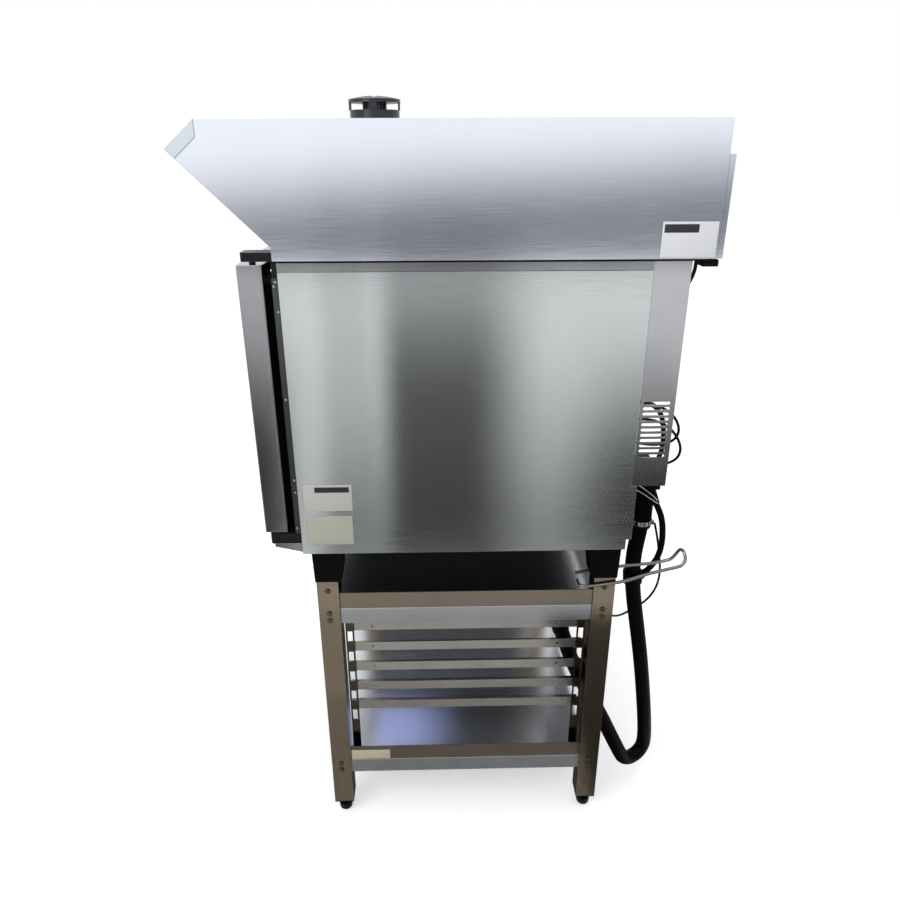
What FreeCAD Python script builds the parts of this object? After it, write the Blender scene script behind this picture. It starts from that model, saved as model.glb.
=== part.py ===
import FreeCAD
import Part
import math
import os

# Combi oven with a condensation hood, on an open stand with tray runners.
# Millimetres. +X is the oven's right, -Y its front, +Z up. The origin lies on the floor
# under the middle of the object.

V = FreeCAD.Vector

# Sheet metal and fits
SHEET = 2.0
FIT = 0.05            # radial clearance of a shaft or pin in its bore
SEAT_GAP = 0.3        # gap where two pieces sit together but are not fixed
LOOSE = 0.5           # gap round an edge that only has to pass
SEAM = 0.8            # shadow gap where two outer sheets meet

# Stand
STAND_WIDTH = 1000.0
STAND_DEPTH = 764.0
STAND_SETBACK = 19.0  # from the case front back to the stand front
STAND_FOOT_HEIGHT = 50.0
STAND_FOOT_RADIUS = 22.0
STAND_FOOT_TIP = 18.0
STAND_FOOT_FLANGE = 4.0
STAND_FOOT_PLUG = 15.0
STAND_FOOT_ROUND = 8.0
LEG_LENGTH = 756.0
LEG_SIZE = 55.0
LEG_WALL = 2.5
LEG_CAP = 3.0
BEAM_HEIGHT = 44.0
BEAM_DEPTH = 30.0
BEAM_INSET = 3.0
DECK_DROP = 86.0      # from the leg tops down to the deck surface
SHELF_HEIGHT = 206.0  # from the floor up to the shelf surface
RIM_HEIGHT = 47.0

# Tray runners
UPRIGHT_WIDTH = 23.0
UPRIGHT_SLOT_WIDTH = 13.0
UPRIGHT_SLOT_HEIGHT = 35.0
RUNNER_COUNT = 5
RUNNER_FIRST = 155.5  # from the shelf surface up to the lowest runner
RUNNER_PITCH = 66.5
RUNNER_HEIGHT = 27.0
RUNNER_WIDTH = 40.0
RUNNER_END_GAP = 5.0  # from a leg to the runner's end
RUNNER_HOLE_RADIUS = 3.5
RUNNER_HOLE_INSET = 49.0

# Fasteners
BOLT_RADIUS = 6.0
BOLT_HEAD = 4.0
BOLT_ROUND = 1.5
BOLT_SPACING = 22.0
TOP_BOLT_DROP = 31.0
LUG_RADIUS = 8.0
LUG_THICK = 2.2       # lug for the bonding lead's end

# Oven case
CASE_FRONT = -382.0   # Y of the case front
CASE_WIDTH = 1069.0
CASE_DEPTH = 788.0
CASE_HEIGHT = 692.0
OVEN_FOOT_HEIGHT = 100.0
OVEN_FOOT_TOP = 80.0
OVEN_FOOT_TOP_SHIFT = 9.0  # from the leg's middle towards the stand's middle
OVEN_FOOT_BOTTOM = 66.0
OVEN_FOOT_BOTTOM_SHIFT = 4.0
SIDE_TAIL = 13.0      # side sheet reaching past the rear sheet, below the wing
SIDE_TAIL_RISE = 28.0
TOP_RIM = 18.0
WING_DEPTH = 80.0
WING_DROP = 520.0     # from the case top down to the wing's lower edge
WING_LIP = 12.0
LOUVRE_COUNT = 11
LOUVRE_PITCH = 12.9
LOUVRE_HEIGHT = 7.0
LOUVRE_MARGIN_FRONT = 8.0
LOUVRE_MARGIN_REAR = 11.0
LOUVRE_LOW = 77.5     # from the wing's lower edge up to the lowest slot's middle

# Cavity
FRONT_PLATE = 3.0
FRONT_RETURN = 14.0   # edge of the front sheet, turned forward on the hinge side
CAVITY_WALL = 3.0
COMPARTMENT = 202.5   # from the left side sheet's inner face to the cavity
CAVITY_SIDE = 77.5    # from the cavity to the right side sheet's inner face
CAVITY_DEPTH = 690.0
CAVITY_FLOOR = 50.0   # above the case bottom
CAVITY_HEADROOM = 62.0  # below the case top
OPENING_SETBACK = 100.0  # from the control panel to the opening
OPENING_MARGIN = 15.0  # frame left standing round the other three sides of the opening
INSULATION = 25.0
GASKET_WIDTH = 24.0
FAN_CHAMBER = 125.0   # from the cavity's left wall to the baffle's face
BAFFLE_HOLE = 125.0
BAFFLE_AIR_GAP = 28.0
BAFFLE_POST = 6.0
RACK_WIRE = 4.0
RACK_OFFSET = 14.0
RACK_SPREAD = 360.0
RACK_LEVELS = 6
RACK_HEIGHT = 500.0

# Cooking fan and heater
FAN_RADIUS = 170.0
FAN_WIDTH = 68.0
FAN_GAP = 26.0        # from the cavity wall to the wheel
FAN_BLADES = 12
FAN_DISC = 3.0
FAN_HUB = 24.0
SHAFT_RADIUS = 9.0
SHAFT_HOLE_GAP = 3.0
MOTOR_RADIUS = 68.0
MOTOR_LENGTH = 105.0
MOTOR_FLANGE = 92.0
MOTOR_FLANGE_THICK = 6.0
HEATER_RADIUS = 204.0
HEATER_ROD = 6.0
HEATER_COUNT = 3
HEATER_PITCH = 20.0
TERMINAL_LENGTH = 14.0

# Left compartment
STEAM_RADIUS = 48.0
STEAM_HEIGHT = 270.0
STEAM_PIPE = 14.0
STEAM_PIPE_DROP = 34.0
STEAM_INSET = 90.0    # from the rear panel and from the side panel to the tank's axis
BOARD_WIDTH = 190.0
BOARD_HEIGHT = 240.0
BOARD_STANDOFF = 12.0
BOARD_POST = 4.0
BOARD_BLOCK = 26.0
BOARD_FRONT_GAP = 70.0
BOARD_FLOOR_GAP = 350.0

# Control panel
PANEL_WIDTH = 244.5
PANEL_DEPTH = 40.0
PANEL_TOP_GAP = 4.0
SCREEN_WIDTH = 176.0
SCREEN_HEIGHT = 230.0
SCREEN_THICK = 3.0
SCREEN_DROP = 70.0
DIAL_RADIUS = 27.0
DIAL_DEPTH = 22.0
DIAL_SPINDLE = 4.0
DIAL_SPINDLE_LENGTH = 30.0
DIAL_DROP = 85.0      # from the screen's lower edge down to the dial's axis
KEY_RADIUS = 10.0
KEY_PROUD = 4.0
KEY_DEPTH = 12.0
KEY_FLANGE = 3.0
KEY_SPACING = 62.0
KEY_DROP = 70.0       # from the dial's axis down to the keys
POWER_DROP = 62.0     # from the keys down to the power button

# Door
DOOR_GAP = 32.0
DOOR_THICK = 54.0
DOOR_ROUND = 4.0
DOOR_SIDE_GAP = 4.5
DOOR_PANEL_GAP = 4.0
DOOR_TOP_GAP = 4.0
DOOR_FLOOR_GAP = 59.0
STILE = 92.0
RAIL = 74.0
GLASS_THICK = 5.0
GLASS_LAP = 12.0
HINGE_INSET = 22.0
HINGE_SETBACK = 23.0  # from the door's inner face forward to the hinge axis
PIN_RADIUS = 7.0
PIN_DEPTH = 26.0
HINGE_BLOCK_WIDTH = 47.0
HINGE_BLOCK_FRONT = 20.0  # block in front of the hinge axis
UPPER_BLOCK_HEIGHT = 18.5
LOWER_BLOCK_HEIGHT = 27.0
HINGE_BLOCK_ROUND = 6.0
HINGE_GAP = 5.0
HINGE_PLATE = 12.0
HINGE_PLATE_HEIGHT = 31.0
HANDLE_INSET = 35.0
HANDLE_LEVEL = 325.0  # above the door's lower edge
HANDLE_HUB = 21.0
HANDLE_HUB_DEPTH = 22.0
HANDLE_REACH = 46.0
HANDLE_GRIP = 13.0
HANDLE_LENGTH = 190.0
SPINDLE_RADIUS = 8.0
TONGUE_LENGTH = 26.0
TONGUE_HALF = 9.0
TONGUE_THICK = 12.0
TONGUE_BOSS = 12.0
CATCH_GAP = 1.0
CATCH_HEIGHT = 14.0
CATCH_WIDTH = 30.0
CATCH_DEPTH = 16.0
DRIP_DEPTH = 66.0
DRIP_FRONT_HEIGHT = 8.0
DRIP_REAR_HEIGHT = 24.0

# Hood
HOOD_GAP = 4.0        # shadow line between the case and the hood
HOOD_HEIGHT = 269.0
HOOD_OVERHANG = 197.0
HOOD_NOSE_SET = 63.0  # from the nose tip back to the front of the flat top
HOOD_NOSE_DROP = 53.5
HOOD_STEP = 8.0       # hood front ahead of the case front
HOOD_STEP_HEIGHT = 27.0
HOOD_REAR = 916.0     # from the case front back to the hood's rear face
HOOD_COVER_THICK = 14.5
HOOD_COVER_DROP = 66.0
HOOD_COVER_SIDE = 3.0
LIP_THICK = 1.2
LIP_RETURN = 25.0
HOOD_FLOOR_INSET = 4.0
HOOD_PAD_START = 895.0  # from the case front back to the rear seal pads
HOOD_PAD_LENGTH = 33.0
HOOD_PAD_WIDTH = 40.0
HOOD_PAD_HEIGHT = 14.0
HOOD_PAD_SIDE = 14.5  # from the case's side to a pad
FILTER_WIDTH = 470.0
FILTER_LENGTH = 176.0
FILTER_THICK = 16.0
FILTER_LAP = 12.0
FILTER_START = 44.0   # along the slant from the nose to the filter's edge
FILTER_GAP = 40.0     # between the two filters
HOOD_FAN_X = -230.0
HOOD_FAN_DEPTH = 560.0
HOOD_FAN_RADIUS = 150.0
HOOD_FAN_HEIGHT = 70.0
HOOD_FAN_BLADES = 14
HOOD_FAN_HUB = 20.0
HOOD_MOTOR_RADIUS = 62.0
HOOD_MOTOR_HEIGHT = 92.0
HOOD_SHAFT_RADIUS = 8.0

# Vent
VENT_DEPTH = 178.0    # from the case front back to the vent's axis
VENT_RADIUS = 30.0
VENT_WALL = 2.0
CAP_RADIUS = 67.0
CAP_HEIGHT = 72.0
CAP_BASE = 38.0
CAP_BASE_INSET = 3.0
CAP_WINDOW = 17.0
CAP_DOME = 9.0
CAP_SLOT_WIDTH = 11.0
CAP_SLOT_DEPTH = 4.5
CAP_CORE = 31.0
CAP_LEGS = 4
CAP_LEG_WIDTH = 20.0
CAP_LEG_THICK = 6.5
CAP_RIBS = 16
CAP_RIB = 3.0

# Rear services
SERVICE_INSET = 144.5  # from the right side sheet's inner face to the drain axis
BOX_WIDTH = 120.0
BOX_DEPTH = 93.0
BOX_HEIGHT = 45.0
BOX_LEVEL = 128.0     # above the case bottom
BOX_OFFSET = 17.0     # box middle to the right of the drain axis
GLAND_OFFSET = 44.0   # gland axis to the right of the drain axis
GLAND_SETBACK = 19.0
GLAND_LENGTH = 59.0
GLAND_RADIUS = 14.0
GLAND_TIP = 10.0
GLAND_LEAN = 24.0     # degrees from straight down, towards the rear
DRAIN_SETBACK = 78.0  # drain axis behind the case rear
BOOT_RADIUS = 27.0
BOOT_LENGTH = 141.0
BOOT_ARM_RADIUS = 25.0
BOOT_ARM_DROP = 40.0
CLAMP_THICK = 2.0
CLAMP_WIDTH = 12.0
CLAMP_RISE = 10.0     # above the boot's lower end
CLAMP_LUG = 16.0
HOOK_WIRE = 4.2

# Cords
HOSE_RADIUS = 21.0
CONDENSATE_RADIUS = 8.0
BOND_RADIUS = 3.0
LEAD_RADIUS = 3.2
LOOM_RADIUS = 6.0
HOOD_LEAD_RADIUS = 4.0
CAPILLARY_RADIUS = 1.5
BRANCH_WALL = 4.0
BRANCH_HEIGHT = 34.0
BRANCH_GAP = 0.7      # round the curved hose
BEND_SETBACK = 0.45   # part of the shorter run that a bend takes up
COUPLING_WALL = 2.5
COUPLING_LENGTH = 34.0

# Levels and faces that follow from the sizes above
leg_top = STAND_FOOT_HEIGHT + LEG_LENGTH
deck_top = leg_top - DECK_DROP
deck_bottom = deck_top - SHEET
shelf_bottom = SHELF_HEIGHT - SHEET
case_bottom = leg_top + OVEN_FOOT_HEIGHT
case_top = case_bottom + CASE_HEIGHT
hood_bottom = case_top + HOOD_GAP
hood_top = hood_bottom + HOOD_HEIGHT
case_half = CASE_WIDTH / 2
case_rear = CASE_FRONT + CASE_DEPTH
inner_half = case_half - SHEET
stand_half = STAND_WIDTH / 2
leg_inner = stand_half - LEG_SIZE
beam_face = stand_half - BEAM_INSET
beam_inner = beam_face - BEAM_DEPTH
stand_front = CASE_FRONT + STAND_SETBACK
stand_rear = stand_front + STAND_DEPTH
leg_columns = [(x, y) for x in (-stand_half, leg_inner) for y in (stand_front, stand_rear - LEG_SIZE)]
runner_front = stand_front + LEG_SIZE + RUNNER_END_GAP
runner_rear = stand_rear - LEG_SIZE - RUNNER_END_GAP
runner_levels = [SHELF_HEIGHT + RUNNER_FIRST + i * RUNNER_PITCH for i in range(RUNNER_COUNT)]
base_top = case_bottom + SHEET
rim_bottom = case_top - TOP_RIM
cavity_front = CASE_FRONT + FRONT_PLATE
cavity_rear = cavity_front + CAVITY_DEPTH
cavity_bottom = case_bottom + CAVITY_FLOOR
cavity_top = case_top - CAVITY_HEADROOM
cavity_left = COMPARTMENT - inner_half
cavity_right = inner_half - CAVITY_SIDE
cavity_mid_y = (cavity_front + cavity_rear) / 2
cavity_mid_z = (cavity_bottom + cavity_top) / 2
panel_right = PANEL_WIDTH - case_half
opening_left = panel_right + OPENING_SETBACK
opening_right = cavity_right - OPENING_MARGIN
opening_bottom = cavity_bottom + OPENING_MARGIN
opening_top = cavity_top - OPENING_MARGIN
baffle_x = cavity_left + FAN_CHAMBER
panel_front = CASE_FRONT - PANEL_DEPTH
panel_top = case_top - PANEL_TOP_GAP
panel_mid = (panel_right - case_half) / 2
screen_top = panel_top - SCREEN_DROP
dial_level = screen_top - SCREEN_HEIGHT - DIAL_DROP
key_level = dial_level - KEY_DROP
power_level = key_level - POWER_DROP
door_back = CASE_FRONT - DOOR_GAP
door_front = door_back - DOOR_THICK
door_right = case_half - DOOR_SIDE_GAP
door_left = panel_right + DOOR_PANEL_GAP
door_bottom = case_bottom + DOOR_FLOOR_GAP
door_top = case_top - DOOR_TOP_GAP
hinge_x = door_right - HINGE_INSET
hinge_y = door_back - HINGE_SETBACK
low_hinge_top = door_bottom - HINGE_GAP + LOOSE
handle_x = door_left + HANDLE_INSET
handle_z = door_bottom + HANDLE_LEVEL
vent_y = CASE_FRONT + VENT_DEPTH
hood_front = CASE_FRONT - HOOD_STEP
hood_rear = CASE_FRONT + HOOD_REAR
nose_y = CASE_FRONT - HOOD_OVERHANG
nose_z = hood_top - HOOD_NOSE_DROP
step_top = hood_bottom + HOOD_STEP_HEIGHT
wing_rear = case_rear + WING_DEPTH
wing_bottom = case_top - WING_DROP
service_x = inner_half - SERVICE_INSET
box_bottom = case_bottom + BOX_LEVEL
drain_y = case_rear + DRAIN_SETBACK
boot_bottom = box_bottom - BOOT_LENGTH
clamp_bottom = boot_bottom + CLAMP_RISE
hood_fan_y = CASE_FRONT + HOOD_FAN_DEPTH


# Shapes

def box(x0, x1, y0, y1, z0, z1):
    """Block between two corners."""
    return Part.makeBox(x1 - x0, y1 - y0, z1 - z0, V(x0, y0, z0))


def rod(radius, start, end):
    """Round bar from one point to another."""
    along = end - start
    return Part.makeCylinder(radius, along.Length, start, along)


def prism_along_x(outline, x0, x1):
    """Outline of (y, z) points, pulled out from x0 to x1."""
    points = [V(x0, y, z) for y, z in outline]
    return Part.Face(Part.makePolygon(points + points[:1])).extrude(V(x1 - x0, 0, 0))


def mirrored(shape):
    """The same piece on the other side of the oven."""
    return shape.mirror(V(0, 0, 0), V(1, 0, 0))


def both_sides(shape):
    """A piece and its twin on the other side."""
    return [shape, mirrored(shape)]


def joined(shapes):
    """One solid out of pieces that are welded or moulded together."""
    return shapes[0].multiFuse(shapes[1:]).removeSplitter()


def round_corners(shape, radius, face_y):
    """Round the upright edges that lie on the face y = face_y."""
    edges = [e for e in shape.Edges if all(abs(v.Y - face_y) < 1e-6 for v in e.Vertexes)
             and len(e.Vertexes) == 2 and abs(e.Vertexes[0].Z - e.Vertexes[1].Z) > radius]
    return shape.makeFillet(radius, edges)


def round_face_edges(shape, radius, level):
    """Round the edges that lie on the level z = level."""
    edges = [e for e in shape.Edges if all(abs(v.Z - level) < 1e-6 for v in e.Vertexes)]
    return shape.makeFillet(radius, edges)


# Cords: straight runs joined by tangent arcs

def cord_path(points):
    """Wire along the route, and the bend radii used on it."""
    runs = [b - a for a, b in zip(points, points[1:])]
    edges = []
    radii = []
    here = points[0]
    for i in range(1, len(points) - 1):
        before = V(runs[i - 1])
        after = V(runs[i])
        turn = before.getAngle(after)
        setback = BEND_SETBACK * min(before.Length, after.Length)
        radius = setback / math.tan(turn / 2)
        before.normalize()
        after.normalize()
        enter = points[i] - before * setback
        leave = points[i] + after * setback
        inward = (after - before).normalize()
        middle = points[i] + inward * (radius / math.cos(turn / 2) - radius)
        edges.append(Part.LineSegment(here, enter).toShape())
        edges.append(Part.Arc(enter, middle, leave).toShape())
        radii.append(radius)
        here = leave
    edges.append(Part.LineSegment(here, points[-1]).toShape())
    return Part.Wire(edges), radii


def cord(name, radius, points):
    """Tube along the route, with its length, tightest bends and volume printed."""
    path, radii = cord_path(points)
    start = points[1] - points[0]
    section = Part.Wire(Part.makeCircle(radius, points[0], start))
    tube = path.makePipeShell([section], True, False)
    expected = math.pi * radius ** 2 * path.Length
    bends = " ".join(f"{r:.0f}" for r in radii)
    print(f"{name}: length {path.Length:.0f}, volume ratio {tube.Volume / expected:.4f}, radii {bends}")
    return tube


def route(points):
    """Route points, given as x, depth behind the case front, and height above the floor."""
    return [V(x, CASE_FRONT + depth, z) for x, depth, z in points]


HOSE_ROUTE = [
    (388, 866, 890), (388, 861, 845), (388, 857, 795), (387, 860, 735), (385, 871, 663), (382, 890, 570),
    (377, 912, 460), (372, 931, 350), (367, 946, 255), (363.5, 955, 190), (361.5, 960, 146), (361, 960, 105.4),
    (369, 942.5, 80.9), (381.6, 914.9, 73.6), (393.4, 889.1, 86.7), (401.9, 870.5, 126.8), (405, 840, 192),
    (404, 807, 264), (402.5, 769, 336), (402, 734, 405), (402, 706, 470), (401.5, 686, 528), (401, 671, 572),
]
CONDENSATE_ROUTE = [
    (432, 886.4, 979.2), (430.5, 901, 952), (426.5, 911, 920), (420, 918, 882), (413, 921, 842), (406, 917, 804),
    (399.5, 906, 774), (394, 893, 753),
]
BOND_ROUTE = [
    (400, 900.2, 905), (400, 906, 884), (395, 914, 856), (389, 922, 826), (383, 930, 792), (376, 938, 755),
    (371, 941, 718), (367, 937, 683), (362, 926, 652), (356, 909, 625), (353, 886, 607), (363, 864, 600),
    (383, 844, 606), (406, 826, 619), (428, 811, 634), (446, 799, 648), (457, 788.2, 657),
]
UPPER_LEAD_ROUTE = [
    (500, 788.4, 1272), (500, 822, 1271), (500, 852, 1262), (500, 876, 1246), (500, 892, 1224), (499, 898, 1200),
    (497, 890, 1180), (494, 870, 1169), (491, 845, 1165), (489, 818, 1167), (488, 788.4, 1172),
]
LOWER_LEAD_ROUTE = [
    (508, 788.4, 1238), (508, 820, 1237), (508, 848, 1229), (508, 874, 1213), (508, 894, 1188), (507, 905, 1160),
    (505, 900, 1136), (502, 881, 1122), (499, 856, 1117), (497, 825, 1119), (496, 788.4, 1124),
]
LOOM_ROUTE = [
    (486, 788.4, 1272), (486, 812, 1271), (485, 836, 1263), (484, 853, 1245), (482, 862, 1222), (478, 868, 1196),
    (473, 872, 1168), (467, 873, 1140), (460, 868, 1114), (456, 864, 1096), (455.5, 863.2, 1079.4),
]
HOOD_LEAD_ROUTE = [
    (500, 887, 1597.5), (500, 887.5, 1584), (500, 885, 1566), (500, 877, 1546), (500, 862, 1529), (500, 840, 1517),
    (500, 814, 1511), (500, 788.4, 1509.5),
]
UPPER_CAPILLARY_ROUTE = [
    (480, 788.4, 1060), (480, 808, 1058), (479, 828, 1050), (476, 845, 1036), (472, 861, 1022), (466, 874, 1009),
    (457, 882, 1000), (446, 884, 995.5),
]
LOWER_CAPILLARY_ROUTE = [
    (472, 788.4, 1044), (472, 807, 1042), (471, 826, 1034), (469, 843, 1022), (465, 860, 1009), (459, 875, 997),
    (451, 885, 989), (443.5, 888, 984.5),
]


# Stand

def stand_legs():
    """Four square tubes, closed at the top."""
    legs = []
    for x, y in leg_columns:
        tube = box(x, x + LEG_SIZE, y, y + LEG_SIZE, STAND_FOOT_HEIGHT, leg_top)
        hollow = box(x + LEG_WALL, x + LEG_SIZE - LEG_WALL, y + LEG_WALL, y + LEG_SIZE - LEG_WALL,
                     STAND_FOOT_HEIGHT, leg_top - LEG_CAP)
        legs.append(tube.cut(hollow))
    return legs


def stand_feet():
    """Bullet feet, each with a plug that sits in its leg."""
    feet = []
    for x, y in leg_columns:
        middle = V(x + LEG_SIZE / 2, y + LEG_SIZE / 2, 0)
        tip_height = STAND_FOOT_HEIGHT - STAND_FOOT_FLANGE
        bullet = Part.makeCone(STAND_FOOT_TIP, STAND_FOOT_RADIUS, tip_height, middle)
        bullet = round_face_edges(bullet, STAND_FOOT_ROUND, 0)
        flange = box(x, x + LEG_SIZE, y, y + LEG_SIZE, tip_height, STAND_FOOT_HEIGHT)
        inset = LEG_WALL + SEAT_GAP
        plug = box(x + inset, x + LEG_SIZE - inset, y + inset, y + LEG_SIZE - inset,
                   STAND_FOOT_HEIGHT, STAND_FOOT_HEIGHT + STAND_FOOT_PLUG)
        feet.append(joined([bullet, flange, plug]))
    return feet


def beams(top):
    """Four tube beams between the legs, with their upper faces at one level."""
    bottom = top - BEAM_HEIGHT
    y0 = stand_front + LEG_SIZE
    y1 = stand_rear - LEG_SIZE
    side = box(beam_inner, beam_face, y0, y1, bottom, top)
    side = side.cut(box(beam_inner + SHEET, beam_face - SHEET, y0, y1, bottom + SHEET, top - SHEET))
    made = both_sides(side)
    for front in (stand_front + BEAM_INSET, stand_rear - BEAM_INSET - BEAM_DEPTH):
        rear = front + BEAM_DEPTH
        cross = box(-leg_inner, leg_inner, front, rear, bottom, top)
        hollow = box(-leg_inner, leg_inner, front + SHEET, rear - SHEET, bottom + SHEET, top - SHEET)
        made.append(cross.cut(hollow))
    return made


def plate_on_beams(top):
    """Sheet laid on the beams and cut out round the legs."""
    plate = box(-beam_face, beam_face, stand_front + BEAM_INSET, stand_rear - BEAM_INSET, top - SHEET, top)
    corners = [box(x - LOOSE, x + LEG_SIZE + LOOSE, y - LOOSE, y + LEG_SIZE + LOOSE, top - SHEET, top)
               for x, y in leg_columns]
    return plate.cut(Part.makeCompound(corners))


def stand_rims():
    """Upright side strips of the deck and of the shelf."""
    rims = []
    for bottom in (deck_top, SHELF_HEIGHT):
        strip = box(beam_face - SHEET, beam_face, stand_front + LEG_SIZE + LOOSE, stand_rear - LEG_SIZE - LOOSE,
                    bottom, bottom + RIM_HEIGHT)
        rims += both_sides(strip)
    return rims


def runner_uprights():
    """Slotted strips between shelf and deck, against the side beams."""
    uprights = []
    for y in (runner_front, runner_rear - UPRIGHT_WIDTH):
        strip = box(beam_inner - SHEET, beam_inner, y, y + UPRIGHT_WIDTH, SHELF_HEIGHT, deck_bottom)
        middle = y + UPRIGHT_WIDTH / 2
        slots = [box(beam_inner - SHEET, beam_inner, middle - UPRIGHT_SLOT_WIDTH / 2,
                     middle + UPRIGHT_SLOT_WIDTH / 2, z - UPRIGHT_SLOT_HEIGHT - SHEET, z - SHEET)
                 for z in runner_levels]
        uprights += both_sides(strip.cut(Part.makeCompound(slots)))
    return uprights


def tray_runners():
    """Angle runners on both sides, five to a side."""
    outer = beam_inner - SHEET
    runners = []
    for z in runner_levels:
        wall = box(outer - SHEET, outer, runner_front, runner_rear, z, z + RUNNER_HEIGHT)
        ledge = box(outer - RUNNER_WIDTH, outer, runner_front, runner_rear, z, z + SHEET)
        holes = [Part.makeCylinder(RUNNER_HOLE_RADIUS, SHEET, V(outer - SHEET, y, z + RUNNER_HEIGHT / 2), V(1, 0, 0))
                 for y in (runner_front + RUNNER_HOLE_INSET + UPRIGHT_WIDTH,
                           runner_rear - RUNNER_HOLE_INSET - UPRIGHT_WIDTH)]
        runners += both_sides(joined([wall, ledge]).cut(Part.makeCompound(holes)))
    return runners


def bolt_head(face_point, outward):
    """Domed head on a face."""
    head = Part.makeCylinder(BOLT_RADIUS, BOLT_HEAD, face_point, outward)
    rim = [e for e in head.Edges if len(e.Vertexes) == 1
           and abs((e.Vertexes[0].Point - face_point).dot(outward) - BOLT_HEAD) < 1e-6]
    return head.makeFillet(BOLT_ROUND, rim)


def stand_bolts():
    """Heads of the bolts that hold the beams, on the legs' outer faces, and the bonding lead's lug."""
    half = BOLT_SPACING / 2
    levels = [middle + step for middle in (deck_bottom - BEAM_HEIGHT / 2, shelf_bottom - BEAM_HEIGHT / 2)
              for step in (-half, half)]
    heads = []
    for x, y in leg_columns:
        mid_x = x + LEG_SIZE / 2
        mid_y = y + LEG_SIZE / 2
        side = V(math.copysign(1, mid_x), 0, 0)
        end = V(0, math.copysign(1, mid_y - (stand_front + stand_rear) / 2), 0)
        for z in levels + [leg_top - TOP_BOLT_DROP]:
            heads.append(bolt_head(V(side.x * stand_half, mid_y, z), side))
        end_face = stand_rear if end.y > 0 else stand_front
        for z in levels:
            heads.append(bolt_head(V(mid_x, end_face, z), end))
    lead_end = route(BOND_ROUTE)[-1]
    heads.append(Part.makeCylinder(LUG_RADIUS, LUG_THICK, V(lead_end.x, stand_rear, lead_end.z), V(0, 1, 0)))
    return heads


def wire_hook():
    """Bent wire loop round the rear right leg, reaching out behind the stand.

    The bends are given as x, distance behind the stand and height above the leg.
    """
    near = stand_half + HOOK_WIRE + SEAT_GAP
    far = leg_inner - HOOK_WIRE - SEAT_GAP
    bends = [
        ((near + far) / 2, -93, -25), (near - 3, -93, -27), (near, -61, -24), (near, -18, -18), (near, 23, -11),
        (near - 1, 75, 8), (near - 2, 125, 20), (near - 4, 165, 29), (near - 7, 174.5, 45), (near - 17, 172, 63),
        (near - 32, 167, 63), (near - 43, 163, 45), (far + 14, 153, 21), (far + 8, 113, 7), (far + 3, 67, 0),
        (far, 23, -6.5), (far, -18, -12), (far, -61, -18), (far + 4, -93, -22),
    ]
    return cord("wire_hook", HOOK_WIRE, [V(x, stand_rear + y, leg_top + z) for x, y, z in bends])


# Oven case

def foot_section(size, shift, x, y, z):
    """Square outline of a foot at one level, set from its leg's middle towards the stand's middle."""
    half = size / 2
    mid_x = x + LEG_SIZE / 2
    mid_y = y + LEG_SIZE / 2 + (shift if y == stand_front else -shift)
    corners = [V(mid_x - half, mid_y - half, z), V(mid_x + half, mid_y - half, z),
               V(mid_x + half, mid_y + half, z), V(mid_x - half, mid_y + half, z)]
    return Part.makePolygon(corners + corners[:1])


def oven_feet():
    """Tapered square feet, standing on the legs."""
    feet = []
    for x, y in leg_columns:
        lower = foot_section(OVEN_FOOT_BOTTOM, OVEN_FOOT_BOTTOM_SHIFT, x, y, leg_top)
        upper = foot_section(OVEN_FOOT_TOP, OVEN_FOOT_TOP_SHIFT, x, y, case_bottom)
        feet.append(Part.makeLoft([lower, upper], True, True))
    return feet


def base_pan():
    """Floor sheet of the case."""
    return box(-inner_half, inner_half, CASE_FRONT, case_rear - SHEET, case_bottom, base_top)


def side_panel():
    """Right side sheet, with a tail below the wing."""
    sheet = box(inner_half, case_half, CASE_FRONT, case_rear, case_bottom, rim_bottom - SEAM)
    tail = box(inner_half, case_half, case_rear, case_rear + SIDE_TAIL, case_bottom + SIDE_TAIL_RISE,
               wing_bottom - SEAM)
    return joined([sheet, tail])


def vent_hole(z0, z1):
    """Round hole for the vent pipe between two levels."""
    return Part.makeCylinder(VENT_RADIUS + LOOSE, z1 - z0, V(0, vent_y, z0))


def top_panel():
    """Roof sheet with its edges turned down."""
    roof = box(-case_half, case_half, CASE_FRONT, case_rear, case_top - SHEET, case_top)
    right = box(inner_half, case_half, CASE_FRONT, case_rear, rim_bottom, case_top - SHEET)
    front = box(-inner_half, inner_half, CASE_FRONT, CASE_FRONT + SHEET, rim_bottom, case_top - SHEET)
    return joined([roof, right, mirrored(right), front]).cut(vent_hole(case_top - SHEET, case_top))


def rear_panel():
    """Rear sheet between the side sheets."""
    return box(-inner_half, inner_half, case_rear - SHEET, case_rear, case_bottom, case_top - SHEET)


def rear_wing():
    """Right rear side wing, with louvre slots and a lip along its rear edge."""
    side = box(inner_half, case_half, case_rear + SEAM, wing_rear, wing_bottom, case_top)
    lip = box(inner_half - WING_LIP, inner_half, wing_rear - SHEET, wing_rear, wing_bottom, case_top)
    head = box(inner_half - WING_LIP, inner_half, case_rear + SEAM, wing_rear - SHEET, case_top - SHEET, case_top)
    slots = []
    half = LOUVRE_HEIGHT / 2
    y0 = case_rear + LOUVRE_MARGIN_FRONT + half
    y1 = wing_rear - LOUVRE_MARGIN_REAR - half
    for i in range(LOUVRE_COUNT):
        z = wing_bottom + LOUVRE_LOW + i * LOUVRE_PITCH
        ends = [Part.makeCylinder(half, SHEET, V(inner_half, y, z), V(1, 0, 0)) for y in (y0, y1)]
        slots.append(joined([box(inner_half, case_half, y0, y1, z - half, z + half)] + ends))
    return joined([side, lip, head]).cut(Part.makeCompound(slots))


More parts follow.
